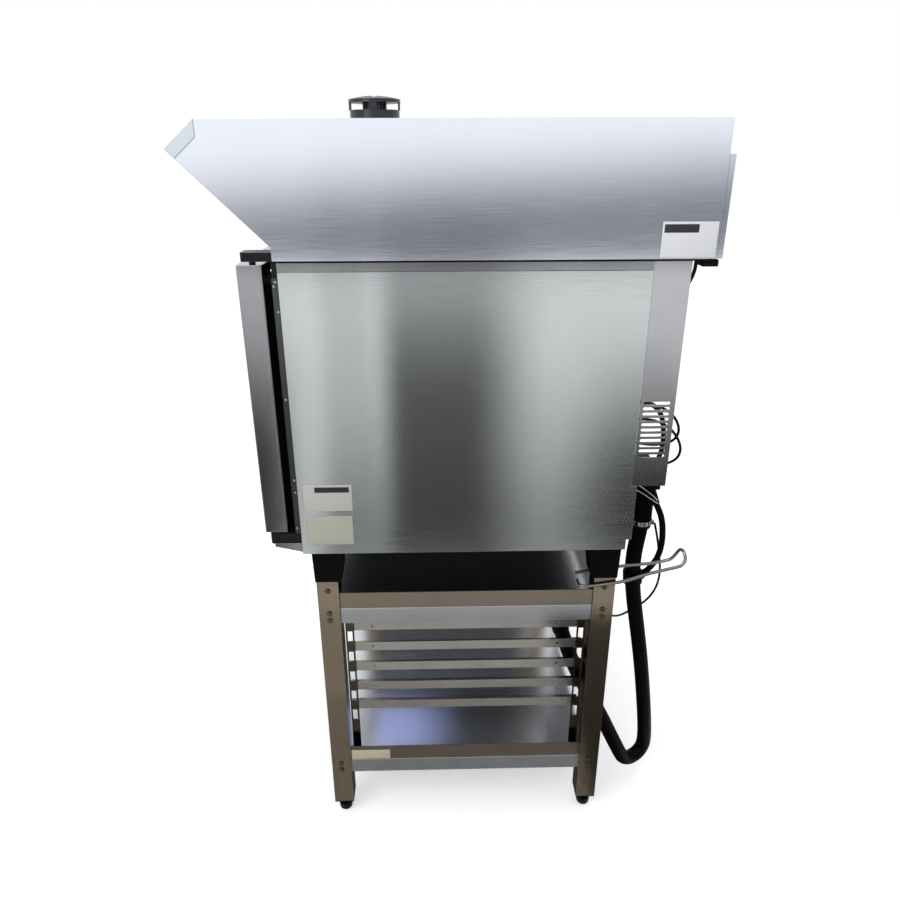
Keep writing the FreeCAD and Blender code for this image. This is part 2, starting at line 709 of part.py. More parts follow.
def front_frame():
    """Front sheet round the cavity's opening, with its edge turned forward between the hinges."""
    sheet = box(panel_right, inner_half, CASE_FRONT, cavity_front, base_top, rim_bottom)
    edge = box(door_right - SHEET, door_right, CASE_FRONT - FRONT_RETURN, CASE_FRONT,
               low_hinge_top + LOOSE, case_top - HINGE_PLATE_HEIGHT - LOOSE)
    opening = box(opening_left, opening_right, CASE_FRONT, cavity_front, opening_bottom, opening_top)
    return joined([sheet.cut(opening), edge])


def door_gasket():
    """Rubber seal round the opening, just clear of the closed door."""
    front = door_back + SEAT_GAP
    outer = box(opening_left - GASKET_WIDTH, opening_right + GASKET_WIDTH, front, CASE_FRONT,
                opening_bottom - GASKET_WIDTH, opening_top + GASKET_WIDTH)
    return outer.cut(box(opening_left, opening_right, front, CASE_FRONT, opening_bottom, opening_top))


# Cavity and what it holds

def heater_terminals():
    """Places (y, z) of the heater's two terminals."""
    return [(cavity_mid_y + step, cavity_mid_z + HEATER_RADIUS) for step in (-HEATER_ROD * 3, HEATER_ROD * 3)]


def cavity_liner():
    """Cooking chamber: five walls, open to the front."""
    wall = CAVITY_WALL
    outer = box(cavity_left - wall, cavity_right + wall, cavity_front, cavity_rear + wall,
                cavity_bottom - wall, cavity_top + wall)
    hollow = box(cavity_left, cavity_right, cavity_front, cavity_rear, cavity_bottom, cavity_top)
    left = cavity_left - wall
    holes = [Part.makeCylinder(SHAFT_RADIUS + SHAFT_HOLE_GAP, wall, V(left, cavity_mid_y, cavity_mid_z), V(1, 0, 0)),
             Part.makeCylinder(VENT_RADIUS - VENT_WALL, wall, V(0, vent_y, cavity_top))]
    holes += [Part.makeCylinder(HEATER_ROD + LOOSE, wall, V(left, y, z), V(1, 0, 0)) for y, z in heater_terminals()]
    return outer.cut(hollow).cut(Part.makeCompound(holes))


def insulation():
    """Mineral wool slabs on the liner's right side, roof, floor and back."""
    wall = CAVITY_WALL
    x0 = cavity_left - wall
    x1 = cavity_right + wall
    y1 = cavity_rear + wall
    z0 = cavity_bottom - wall
    z1 = cavity_top + wall
    right = box(x1, x1 + INSULATION, cavity_front, y1, z0, z1)
    roof = box(x0, x1, cavity_front, y1, z1, z1 + INSULATION).cut(vent_hole(z1, z1 + INSULATION))
    floor = box(x0, x1, cavity_front, y1, z0 - INSULATION, z0)
    back = box(x0, x1, y1, y1 + INSULATION, z0, z1)
    return [right, roof, floor, back]


def air_baffle():
    """Plate in front of the cooking fan, on four posts."""
    y0 = cavity_front + BAFFLE_AIR_GAP
    y1 = cavity_rear - BAFFLE_AIR_GAP
    z0 = cavity_bottom + BAFFLE_AIR_GAP
    z1 = cavity_top - BAFFLE_AIR_GAP
    plate = box(baffle_x - SHEET, baffle_x, y0, y1, z0, z1)
    inlet = Part.makeCylinder(BAFFLE_HOLE, SHEET, V(baffle_x - SHEET, cavity_mid_y, cavity_mid_z), V(1, 0, 0))
    edge = BAFFLE_POST * 3
    posts = [rod(BAFFLE_POST, V(cavity_left, y, z), V(baffle_x - SHEET, y, z))
             for y in (y0 + edge, y1 - edge) for z in (z0 + edge, z1 - edge)]
    return joined([plate.cut(inlet)] + posts)


def fan_motor():
    """Motor on the liner's left wall, with its shaft reaching into the cavity."""
    face = cavity_left - CAVITY_WALL
    axis = V(face, cavity_mid_y, cavity_mid_z)
    flange = Part.makeCylinder(MOTOR_FLANGE, MOTOR_FLANGE_THICK, axis, V(-1, 0, 0))
    body = Part.makeCylinder(MOTOR_RADIUS, MOTOR_LENGTH, axis, V(-1, 0, 0))
    shaft = rod(SHAFT_RADIUS, axis, V(cavity_left + FAN_GAP + FAN_WIDTH, cavity_mid_y, cavity_mid_z))
    return joined([flange, body, shaft])


def blade_ring(count, inner, outer, thick, height):
    """Straight blades set askew round the Z axis, standing on z = 0."""
    blades = []
    for i in range(count):
        blade = box(inner, outer, -thick / 2, thick / 2, 0, height)
        middle = V((inner + outer) / 2, 0, 0)
        blade.rotate(middle, V(0, 0, 1), 35)
        blade.rotate(V(0, 0, 0), V(0, 0, 1), i * 360 / count)
        blades.append(blade)
    return blades


def blower_wheel(radius, height, hub, bore, disc, blades):
    """Wheel round the Z axis: back disc, bored hub, blades and front ring."""
    inner = radius * 0.66
    outer = radius - disc * 2
    back = Part.makeCylinder(radius, disc)
    boss = Part.makeCylinder(hub, height)
    ring = Part.makeCylinder(radius, disc, V(0, 0, height - disc))
    ring = ring.cut(Part.makeCylinder(inner, disc, V(0, 0, height - disc)))
    wheel = joined([back, boss, ring] + blade_ring(blades, inner, outer, disc, height))
    return wheel.cut(Part.makeCylinder(bore + FIT, height))


def fan_wheel():
    """Cooking fan on the motor's shaft."""
    wheel = blower_wheel(FAN_RADIUS, FAN_WIDTH, FAN_HUB, SHAFT_RADIUS, FAN_DISC, FAN_BLADES)
    wheel.rotate(V(0, 0, 0), V(0, 1, 0), 90)
    wheel.translate(V(cavity_left + FAN_GAP, cavity_mid_y, cavity_mid_z))
    return wheel


def heating_element():
    """Ring heaters round the fan, on two terminal rods through the wall."""
    start = cavity_left + FAN_GAP
    rings = [Part.makeTorus(HEATER_RADIUS, HEATER_ROD, V(start + i * HEATER_PITCH, cavity_mid_y, cavity_mid_z),
                            V(1, 0, 0)) for i in range(HEATER_COUNT)]
    end = start + (HEATER_COUNT - 1) * HEATER_PITCH
    rods = [rod(HEATER_ROD, V(cavity_left - CAVITY_WALL - TERMINAL_LENGTH, y, z), V(end, y, z))
            for y, z in heater_terminals()]
    return joined(rings + rods)


def hanging_rack(x):
    """Wire ladder that carries the trays on one side of the cavity."""
    front = cavity_mid_y - RACK_SPREAD / 2
    rear = cavity_mid_y + RACK_SPREAD / 2
    top = cavity_bottom + RACK_HEIGHT
    wires = [rod(RACK_WIRE, V(x, y, cavity_bottom), V(x, y, top)) for y in (front, rear)]
    overrun = RACK_SPREAD / 4
    for i in range(RACK_LEVELS):
        z = cavity_bottom + (i + 0.5) * RACK_HEIGHT / RACK_LEVELS
        wires.append(rod(RACK_WIRE, V(x, front - overrun, z), V(x, rear + overrun, z)))
    return joined(wires)


def hanging_racks():
    """Left and right racks."""
    return [hanging_rack(baffle_x + RACK_OFFSET), hanging_rack(cavity_right - RACK_OFFSET)]


# Left compartment

def steam_generator():
    """Upright boiler on the case floor, with its steam pipe to the cavity."""
    axis = V(-inner_half + STEAM_INSET, case_rear - SHEET - STEAM_INSET, base_top)
    tank = Part.makeCylinder(STEAM_RADIUS, STEAM_HEIGHT, axis)
    level = base_top + STEAM_HEIGHT - STEAM_PIPE_DROP
    pipe = rod(STEAM_PIPE, V(axis.x, axis.y, level), V(cavity_left - CAVITY_WALL, axis.y, level))
    return joined([tank, pipe])


def electronics_board():
    """Control board on posts inside the left side sheet."""
    x0 = -inner_half
    x1 = x0 + BOARD_STANDOFF
    y0 = CASE_FRONT + BOARD_FRONT_GAP
    z0 = base_top + BOARD_FLOOR_GAP
    y1 = y0 + BOARD_WIDTH
    z1 = z0 + BOARD_HEIGHT
    edge = BOARD_POST * 2
    pieces = [box(x1, x1 + SHEET, y0, y1, z0, z1)]
    pieces += [rod(BOARD_POST, V(x0, y, z), V(x1, y, z)) for y in (y0 + edge, y1 - edge) for z in (z0 + edge, z1 - edge)]
    for i in range(3):
        y = y0 + BOARD_WIDTH * (i + 0.5) / 3
        pieces.append(box(x1 + SHEET, x1 + SHEET + BOARD_BLOCK, y - BOARD_BLOCK / 2, y + BOARD_BLOCK / 2,
                          z0 + edge + i * BOARD_BLOCK, z0 + edge + (i + 3) * BOARD_BLOCK))
    return joined(pieces)


# Control panel

def key_columns():
    """X of the left and right key."""
    return panel_mid - KEY_SPACING / 2, panel_mid + KEY_SPACING / 2


def control_panel():
    """Shallow front box left of the door, bored for the controls."""
    outer = box(-case_half, panel_right, panel_front, CASE_FRONT, case_bottom, panel_top)
    hollow = box(-inner_half, panel_right - SHEET, panel_front + SHEET, CASE_FRONT, base_top, panel_top - SHEET)
    bores = [(panel_mid, dial_level, DIAL_SPINDLE + FIT), (panel_mid, power_level, KEY_RADIUS + SEAT_GAP)]
    bores += [(x, key_level, KEY_RADIUS + SEAT_GAP) for x in key_columns()]
    holes = [Part.makeCylinder(r, SHEET, V(x, panel_front, z), V(0, 1, 0)) for x, z, r in bores]
    return outer.cut(hollow).cut(Part.makeCompound(holes))


def display_glass():
    """Screen glass on the panel's front."""
    return box(panel_mid - SCREEN_WIDTH / 2, panel_mid + SCREEN_WIDTH / 2, panel_front - SCREEN_THICK, panel_front,
               screen_top - SCREEN_HEIGHT, screen_top)


def control_dial():
    """Turning dial with its spindle through the panel."""
    face = panel_front - SEAT_GAP
    knob = Part.makeCylinder(DIAL_RADIUS, DIAL_DEPTH, V(panel_mid, face, dial_level), V(0, -1, 0))
    front = [e for e in knob.Edges if len(e.Vertexes) == 1 and e.Vertexes[0].Y < face - DIAL_DEPTH / 2]
    knob = knob.makeFillet(DIAL_DEPTH / 5, front)
    notch = box(panel_mid - SHEET, panel_mid + SHEET, face - DIAL_DEPTH, face - DIAL_DEPTH + SHEET,
                dial_level + DIAL_RADIUS / 3, dial_level + DIAL_RADIUS * 0.8)
    start = V(panel_mid, face, dial_level)
    spindle = rod(DIAL_SPINDLE, start, start + V(0, DIAL_SPINDLE_LENGTH, 0))
    return joined([knob.cut(notch), spindle])


def push_key(x, z):
    """Round key in its hole, kept in by a flange behind the panel."""
    front = panel_front - KEY_PROUD
    cap = Part.makeCylinder(KEY_RADIUS, KEY_DEPTH, V(x, front, z), V(0, 1, 0))
    back = panel_front + SHEET + SEAT_GAP
    flange = Part.makeCylinder(KEY_RADIUS + KEY_FLANGE, KEY_FLANGE, V(x, back, z), V(0, 1, 0))
    return joined([cap, flange])


# Door

def door_shell():
    """Steel door frame, rebated for its two panes and bored for pins and spindle."""
    shell = box(door_left, door_right, door_front, door_back, door_bottom, door_top)
    for face_y in (door_front, door_back):
        shell = round_corners(shell, DOOR_ROUND, face_y)
    window = box(door_left + STILE, door_right - STILE, door_front, door_back, door_bottom + RAIL, door_top - RAIL)
    cuts = [window, pane(door_front, LOOSE), pane(door_back - GLASS_THICK, LOOSE)]
    for z in (door_bottom, door_top - PIN_DEPTH):
        cuts.append(Part.makeCylinder(PIN_RADIUS + FIT, PIN_DEPTH, V(hinge_x, hinge_y, z)))
    cuts.append(Part.makeCylinder(SPINDLE_RADIUS + FIT, DOOR_THICK, V(handle_x, door_front, handle_z), V(0, 1, 0)))
    for cut in cuts:
        shell = shell.cut(cut)
    return shell


def pane(front, margin):
    """Pane of glass from one face back, lapping over the window's edge."""
    lap = GLASS_LAP + margin
    return box(door_left + STILE - lap, door_right - STILE + lap, front, front + GLASS_THICK,
               door_bottom + RAIL - lap, door_top - RAIL + lap)


def door_handle():
    """Lever handle: hub on a spindle, and a grip that hangs from it."""
    face = door_front - SEAT_GAP
    hub = Part.makeCylinder(HANDLE_HUB, HANDLE_HUB_DEPTH, V(handle_x, face, handle_z), V(0, -1, 0))
    spindle = rod(SPINDLE_RADIUS, V(handle_x, face, handle_z), V(handle_x, door_back + SHEET, handle_z))
    grip_y = face - HANDLE_REACH
    arm = rod(HANDLE_GRIP, V(handle_x, face, handle_z), V(handle_x, grip_y, handle_z))
    knuckle = Part.makeSphere(HANDLE_GRIP, V(handle_x, grip_y, handle_z))
    end = V(handle_x, grip_y, handle_z - HANDLE_LENGTH)
    grip = rod(HANDLE_GRIP, V(handle_x, grip_y, handle_z), end)
    tip = Part.makeSphere(HANDLE_GRIP, end)
    return joined([hub, spindle, arm, knuckle, grip, tip])


def door_latch():
    """Latch tongue on the inner end of the handle's spindle."""
    y0 = door_back + SHEET
    y1 = y0 + TONGUE_THICK
    boss = Part.makeCylinder(TONGUE_BOSS, TONGUE_THICK, V(handle_x, y0, handle_z), V(0, 1, 0))
    tongue = box(handle_x, handle_x + TONGUE_LENGTH, y0, y1, handle_z - TONGUE_HALF, handle_z + TONGUE_HALF)
    return joined([boss, tongue])


def door_catch():
    """Catch on the front sheet, below the latch tongue."""
    top = handle_z - TONGUE_BOSS - CATCH_GAP
    x0 = handle_x - CATCH_WIDTH / 2
    return box(x0, x0 + CATCH_WIDTH, CASE_FRONT - CATCH_DEPTH, CASE_FRONT, top - CATCH_HEIGHT, top)


def hinge_brackets():
    """Upper and lower hinge blocks on the case, each with its pin."""
    x1 = hinge_x + HINGE_INSET
    x0 = x1 - HINGE_BLOCK_WIDTH
    front = hinge_y - HINGE_BLOCK_FRONT
    block_bottom = door_top + HINGE_GAP + HOOD_GAP - SHEET
    block_top = block_bottom + UPPER_BLOCK_HEIGHT
    plate_front = CASE_FRONT - HINGE_PLATE
    block = round_corners(box(x0, x1, front, hood_front - LOOSE, block_bottom, block_top), HINGE_BLOCK_ROUND, front)
    web = box(x0, x1, plate_front, hood_front - LOOSE, case_top - LOOSE, block_bottom)
    plate = box(x0, x1, plate_front, CASE_FRONT, case_top - HINGE_PLATE_HEIGHT, case_top - LOOSE)
    pin = rod(PIN_RADIUS, V(hinge_x, hinge_y, block_bottom), V(hinge_x, hinge_y, door_top - PIN_DEPTH + LOOSE))
    upper = joined([block, web, plate, pin])
    low_block = box(x0, x1, front, CASE_FRONT, low_hinge_top - LOWER_BLOCK_HEIGHT, low_hinge_top)
    low_block = round_corners(low_block, HINGE_BLOCK_ROUND, front)
    low_pin = rod(PIN_RADIUS, V(hinge_x, hinge_y, low_hinge_top),
                  V(hinge_x, hinge_y, door_bottom + PIN_DEPTH - LOOSE))
    return [upper, joined([low_block, low_pin])]


def drip_tray():
    """Gutter under the door, falling to the rear."""
    top = low_hinge_top - LOWER_BLOCK_HEIGHT - SEAT_GAP
    y0 = CASE_FRONT - DRIP_DEPTH
    outline = [(y0, top), (y0, top - DRIP_FRONT_HEIGHT), (CASE_FRONT, top - DRIP_REAR_HEIGHT), (CASE_FRONT, top)]
    hollow = [(y0 + SHEET, top), (y0 + SHEET, top - DRIP_FRONT_HEIGHT + SHEET),
              (CASE_FRONT - SHEET, top - DRIP_REAR_HEIGHT + SHEET), (CASE_FRONT - SHEET, top)]
    outer = prism_along_x(outline, door_left, door_right)
    return outer.cut(prism_along_x(hollow, door_left + SHEET, door_right - SHEET))


# Hood

def hood_outline(inset):
    """Side outline of the hood, as (y, z), drawn in by a wall."""
    slope = math.atan2(HOOD_NOSE_DROP, HOOD_NOSE_SET)
    under = math.atan2(nose_z - step_top, hood_front - nose_y)
    tip_angle = slope + under
    tip_reach = inset / math.sin(tip_angle / 2)
    tip_turn = (slope - under) / 2
    return [
        (nose_y + HOOD_NOSE_SET + inset * math.tan(slope / 2), hood_top - inset),
        (nose_y + tip_reach * math.cos(tip_turn), nose_z + tip_reach * math.sin(tip_turn)),
        (hood_front + inset, step_top + inset * math.tan(math.pi / 4 - under / 2)),
        (hood_front + inset, hood_bottom),
        (hood_rear - inset, hood_bottom),
        (hood_rear - inset, hood_top - inset),
    ]


def on_slant(shape):
    """Lay a piece drawn flat on the hood's sloping underside.

    The piece's +Y runs from the nose down the slope and its +Z points into the hood.
    """
    under = math.degrees(math.atan2(nose_z - step_top, hood_front - nose_y))
    laid = shape.copy()
    laid.rotate(V(0, 0, 0), V(1, 0, 0), -under)
    laid.translate(V(0, nose_y, nose_z))
    return laid


def filter_columns():
    """X of the left edge of each filter."""
    return -FILTER_GAP / 2 - FILTER_WIDTH, FILTER_GAP / 2


def hood_canopy():
    """Hood shell, open below, with two filter windows in its sloping underside."""
    shell = prism_along_x(hood_outline(0), -case_half, case_half)
    shell = shell.cut(prism_along_x(hood_outline(SHEET), -inner_half, inner_half))
    for x in filter_columns():
        window = box(x + FILTER_LAP, x + FILTER_WIDTH - FILTER_LAP, FILTER_START + FILTER_LAP,
                     FILTER_START + FILTER_LENGTH - FILTER_LAP, -SHEET, SHEET * 2)
        shell = shell.cut(on_slant(window))
    return shell.cut(vent_hole(hood_top - SHEET, hood_top))


def grease_filters():
    """Two baffle filters lying inside the windows."""
    return [on_slant(box(x, x + FILTER_WIDTH, FILTER_START, FILTER_START + FILTER_LENGTH, SHEET,
                         SHEET + FILTER_THICK)) for x in filter_columns()]


def hood_lip():
    """Nose cap over the hood's front slope, lapping over its sides."""
    slope = math.atan2(HOOD_NOSE_DROP, HOOD_NOSE_SET)
    top_y = nose_y + HOOD_NOSE_SET
    band = LIP_RETURN / math.cos(slope)
    under = math.atan2(nose_z - step_top, hood_front - nose_y)
    run = LIP_RETURN / math.sin(slope + under)
    flap = [(top_y, hood_top), (nose_y, nose_z),
            (nose_y + run * math.cos(under), nose_z - run * math.sin(under)), (top_y, hood_top - band)]
    right = prism_along_x(flap, case_half, case_half + LIP_THICK)
    return both_sides(right)


def hood_floor():
    """Hood floor sheet, lying on the case and set back under the shell, with seal pads below its rear edge."""
    sheet = box(-case_half + HOOD_FLOOR_INSET, case_half - HOOD_FLOOR_INSET, hood_front + HOOD_FLOOR_INSET,
                hood_rear - HOOD_FLOOR_INSET, case_top, hood_bottom)
    right = case_half - HOOD_PAD_SIDE
    start = CASE_FRONT + HOOD_PAD_START
    pad = box(right - HOOD_PAD_WIDTH, right, start, start + HOOD_PAD_LENGTH, case_top - HOOD_PAD_HEIGHT, case_top)
    return joined([sheet.cut(vent_hole(case_top, hood_bottom))] + both_sides(pad))


def hood_rear_cover():
    """Service cover on the hood's back."""
    return box(-case_half + HOOD_COVER_SIDE, case_half - HOOD_COVER_SIDE, hood_rear, hood_rear + HOOD_COVER_THICK,
               hood_bottom, hood_top - HOOD_COVER_DROP)


def hood_fan_motor():
    """Extractor motor standing on the hood floor."""
    foot = V(HOOD_FAN_X, hood_fan_y, hood_bottom)
    body = Part.makeCylinder(HOOD_MOTOR_RADIUS, HOOD_MOTOR_HEIGHT, foot)
    height = HOOD_MOTOR_HEIGHT + SEAT_GAP + HOOD_FAN_HEIGHT
    return joined([body, Part.makeCylinder(HOOD_SHAFT_RADIUS, height, foot)])


def hood_fan_wheel():
    """Extractor wheel on its motor's shaft."""
    wheel = blower_wheel(HOOD_FAN_RADIUS, HOOD_FAN_HEIGHT, HOOD_FAN_HUB, HOOD_SHAFT_RADIUS, FAN_DISC, HOOD_FAN_BLADES)
    wheel.translate(V(HOOD_FAN_X, hood_fan_y, hood_bottom + HOOD_MOTOR_HEIGHT + SEAT_GAP))
    return wheel


def vent_pipe():
    """Pipe from the cavity's roof up through the hood."""
    bottom = cavity_top + CAVITY_WALL
    foot = V(0, vent_y, bottom)
    length = hood_top + CAP_BASE / 2 - bottom
    return Part.makeCylinder(VENT_RADIUS, length, foot).cut(Part.makeCylinder(VENT_RADIUS - VENT_WALL, length, foot))


def vent_cap():
    """Cowl over the vent: base ring, ribbed core, legs and a domed lid with a turning slot."""
    def disc(radius, height, z):
        return Part.makeCylinder(radius, height, V(0, vent_y, hood_top + z))

    def round_axis(piece, count):
        pieces = []
        for i in range(count):
            turned = piece.copy()
            turned.rotate(V(0, 0, 0), V(0, 0, 1), i * 360 / count)
            turned.translate(V(0, vent_y, hood_top))
            pieces.append(turned)
        return pieces

    lid_level = CAP_BASE + CAP_WINDOW
    dome_radius = (CAP_RADIUS ** 2 + CAP_DOME ** 2) / (2 * CAP_DOME)
    dome = Part.makeSphere(dome_radius, V(0, vent_y, hood_top + CAP_HEIGHT - dome_radius))
    lid = disc(CAP_RADIUS, CAP_HEIGHT - lid_level, lid_level).common(dome)
    slot = box(-CAP_RADIUS, CAP_RADIUS, vent_y - CAP_SLOT_WIDTH / 2, vent_y + CAP_SLOT_WIDTH / 2,
               hood_top + CAP_HEIGHT - CAP_SLOT_DEPTH, hood_top + CAP_HEIGHT)
    base = disc(CAP_RADIUS - CAP_BASE_INSET, CAP_BASE, 0)
    core = disc(CAP_CORE - CAP_RIB, CAP_WINDOW, CAP_BASE)
    rib = box(CAP_CORE - CAP_RIB * 2, CAP_CORE, -CAP_RIB / 2, CAP_RIB / 2, CAP_BASE, lid_level)
    leg = box(CAP_RADIUS - CAP_LEG_THICK, CAP_RADIUS - CAP_BASE_INSET / 2, -CAP_LEG_WIDTH / 2, CAP_LEG_WIDTH / 2,
              CAP_BASE, lid_level)
    whole = joined([base, core, lid.cut(slot)] + round_axis(rib, CAP_RIBS) + round_axis(leg, CAP_LEGS))
    return whole.cut(disc(VENT_RADIUS + LOOSE, CAP_BASE / 2 + LOOSE, 0))


# Rear services

def gland_axis():
    """Start and direction of the cable gland under the connection box."""
    lean = math.radians(GLAND_LEAN)
    start = V(service_x + GLAND_OFFSET, case_rear + BOX_DEPTH - GLAND_SETBACK, box_bottom)
    return start, V(0, math.sin(lean), -math.cos(lean))


def terminal_box():
    """Connection box on the rear sheet, with a tapered gland below it."""
    half = BOX_WIDTH / 2
    middle = service_x + BOX_OFFSET
    case = box(middle - half, middle + half, case_rear, case_rear + BOX_DEPTH, box_bottom, box_bottom + BOX_HEIGHT)
    start, along = gland_axis()
    root = start - along * GLAND_RADIUS
    gland = Part.makeCone(GLAND_RADIUS, GLAND_TIP, GLAND_LENGTH + GLAND_RADIUS, root, along)
    return joined([case, gland])


def drain_boot():
    """Rubber elbow from the rear sheet down to the hose."""
    foot = V(service_x, drain_y, boot_bottom)
    down = Part.makeCylinder(BOOT_RADIUS, BOOT_LENGTH - SEAT_GAP, foot)
    level = box_bottom - BOOT_ARM_DROP
    arm = rod(BOOT_ARM_RADIUS, V(service_x, case_rear, level), V(service_x, drain_y, level))
    return joined([down, arm])


def hose_clamp():
    """Band round the boot's lower end, with the lug that holds the bonding lead."""
    foot = V(service_x, drain_y, clamp_bottom)
    outer = BOOT_RADIUS + SEAT_GAP + CLAMP_THICK
    band = Part.makeCylinder(outer, CLAMP_WIDTH, foot)
    lug = box(service_x + CLAMP_LUG / 2, service_x + CLAMP_LUG, drain_y, drain_y + outer + CLAMP_THICK,
              clamp_bottom, clamp_bottom + CLAMP_WIDTH)
    return joined([band, lug]).cut(Part.makeCylinder(BOOT_RADIUS + SEAT_GAP, CLAMP_WIDTH, foot))


def hose_fittings():
    """Branch piece on the drain hose, and the coupling on its far end."""
    spigot_end, spigot_next = route(CONDENSATE_ROUTE)[-1], route(CONDENSATE_ROUTE)[-2]
    away = (spigot_next - spigot_end).normalize()
    path = route(HOSE_ROUTE)
    up = path[2] - path[3]
    down = path[4] - path[3]
    setback = BEND_SETBACK * min(up.Length, down.Length)
    up.normalize()
    down.normalize()
    heart = path[3] + (up + down) * (setback / 4)
    along = (up - down).normalize()
    start = heart - along * (BRANCH_HEIGHT / 2)
    bore = HOSE_RADIUS + BRANCH_GAP
    sleeve = Part.makeCylinder(bore + BRANCH_WALL, BRANCH_HEIGHT, start, along)
    spigot = rod(CONDENSATE_RADIUS + BRANCH_WALL / 2, spigot_end - away * HOSE_RADIUS, spigot_end)
    branch = joined([sleeve, spigot])
    branch = branch.cut(Part.makeCylinder(bore, BRANCH_HEIGHT, start, along))
    end = path[-1]
    forward = (path[-1] - path[-2]).normalize()
    collar = Part.makeCylinder(HOSE_RADIUS + COUPLING_WALL, COUPLING_LENGTH, end, forward)
    return [branch, collar]


def rear_leads():
    """Thin leads and capillary lines behind the case."""
    return [
        cord("wing lead, upper", LEAD_RADIUS, route(UPPER_LEAD_ROUTE)),
        cord("wing lead, lower", LEAD_RADIUS, route(LOWER_LEAD_ROUTE)),
        cord("wing loom", LOOM_RADIUS, route(LOOM_ROUTE)),
        cord("hood lead", HOOD_LEAD_RADIUS, route(HOOD_LEAD_ROUTE)),
        cord("capillary, upper", CAPILLARY_RADIUS, route(UPPER_CAPILLARY_ROUTE)),
        cord("capillary, lower", CAPILLARY_RADIUS, route(LOWER_CAPILLARY_ROUTE)),
    ]


def all_parts():
    """Every node's name with its solid or solids."""
    left_key, right_key = key_columns()
    right_panel = side_panel()
    return {
        "stand_legs": stand_legs(),
        "stand_feet": stand_feet(),
        "stand_top_beams": beams(deck_bottom),
        "stand_low_beams": beams(shelf_bottom),
        "stand_deck": plate_on_beams(deck_top),
        "stand_shelf": plate_on_beams(SHELF_HEIGHT),
        "stand_rims": stand_rims(),
        "runner_uprights": runner_uprights(),
        "tray_runners": tray_runners(),
        "stand_bolts": stand_bolts(),
        "wire_hook": wire_hook(),
        "oven_feet": oven_feet(),
        "base_pan": base_pan(),
        "side_panel_right": right_panel,
        "side_panel_left": mirrored(right_panel),
        "top_panel": top_panel(),
        "rear_panel": rear_panel(),
        "rear_wings": both_sides(rear_wing()),
        "front_frame": front_frame(),
        "door_gasket": door_gasket(),
        "cavity_liner": cavity_liner(),
        "insulation": insulation(),
        "air_baffle": air_baffle(),
        "fan_motor": fan_motor(),
        "fan_wheel": fan_wheel(),
        "heating_element": heating_element(),
        "hanging_racks": hanging_racks(),
        "steam_generator": steam_generator(),
        "electronics_board": electronics_board(),
        "control_panel": control_panel(),
        "display_glass": display_glass(),
        "control_dial": control_dial(),
        "key_left": push_key(left_key, key_level),
        "key_right": push_key(right_key, key_level),
        "power_button": push_key(panel_mid, power_level),
        "door_shell": door_shell(),
        "door_outer_glass": pane(door_front, 0),
        "door_inner_glass": pane(door_back - GLASS_THICK, 0),
        "door_handle": door_handle(),
        "door_latch": door_latch(),
        "door_catch": door_catch(),
        "hinge_brackets": hinge_brackets(),
        "drip_tray": drip_tray(),
        "hood_canopy": hood_canopy(),
        "hood_lip": hood_lip(),
        "hood_floor": hood_floor(),
        "hood_rear_cover": hood_rear_cover(),
        "grease_filters": grease_filters(),
        "hood_fan_motor": hood_fan_motor(),
        "hood_fan_wheel": hood_fan_wheel(),
        "vent_pipe": vent_pipe(),
        "vent_cap": vent_cap(),
        "terminal_box": terminal_box(),
        "drain_boot": drain_boot(),
        "hose_clamp": hose_clamp(),
        "hose_fittings": hose_fittings(),
        "drain_hose": cord("drain hose", HOSE_RADIUS, route(HOSE_ROUTE)),
        "condensate_hose": cord("condensate hose", CONDENSATE_RADIUS, route(CONDENSATE_ROUTE)),
        "bonding_lead": cord("bonding lead", BOND_RADIUS, route(BOND_ROUTE)),
        "rear_leads": rear_leads(),
    }


os.makedirs("parts", exist_ok=True)
for node, shape in all_parts().items():
    solid = Part.makeCompound(shape) if isinstance(shape, list) else shape
    solid.exportStep(f"parts/{node}.step")
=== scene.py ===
"""Dresses the combi oven, its hood and its stand, and sets the studio and the camera."""

import logging
import math
from dataclasses import dataclass
from enum import Enum
from typing import Callable, Sequence

import bpy
from mathutils import Matrix, Quaternion, Vector


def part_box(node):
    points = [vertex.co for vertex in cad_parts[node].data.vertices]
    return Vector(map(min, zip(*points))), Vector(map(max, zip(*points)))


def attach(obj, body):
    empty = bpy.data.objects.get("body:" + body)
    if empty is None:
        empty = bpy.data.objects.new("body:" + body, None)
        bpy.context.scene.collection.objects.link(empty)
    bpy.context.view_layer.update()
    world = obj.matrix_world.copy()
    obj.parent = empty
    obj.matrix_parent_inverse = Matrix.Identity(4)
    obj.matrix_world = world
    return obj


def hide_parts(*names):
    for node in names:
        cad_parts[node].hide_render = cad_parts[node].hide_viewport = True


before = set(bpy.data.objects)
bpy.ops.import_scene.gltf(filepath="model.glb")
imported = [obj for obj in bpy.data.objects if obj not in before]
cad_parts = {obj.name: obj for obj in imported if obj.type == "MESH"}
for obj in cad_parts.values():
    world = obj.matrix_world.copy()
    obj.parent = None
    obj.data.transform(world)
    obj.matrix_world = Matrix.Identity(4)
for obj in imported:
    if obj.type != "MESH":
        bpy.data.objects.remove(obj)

log = logging.getLogger("combi_oven")

Colour = tuple[float, float, float]
Point = tuple[float, float, float]
Socket = bpy.types.NodeSocket
Piece = bpy.types.Object

MM = 0.001
CASE_FRONT = -0.382
SHARP_ANGLE = math.radians(35)
NEARLY = 0.1 * MM
NOISE_RANGE = (0.3, 0.7)


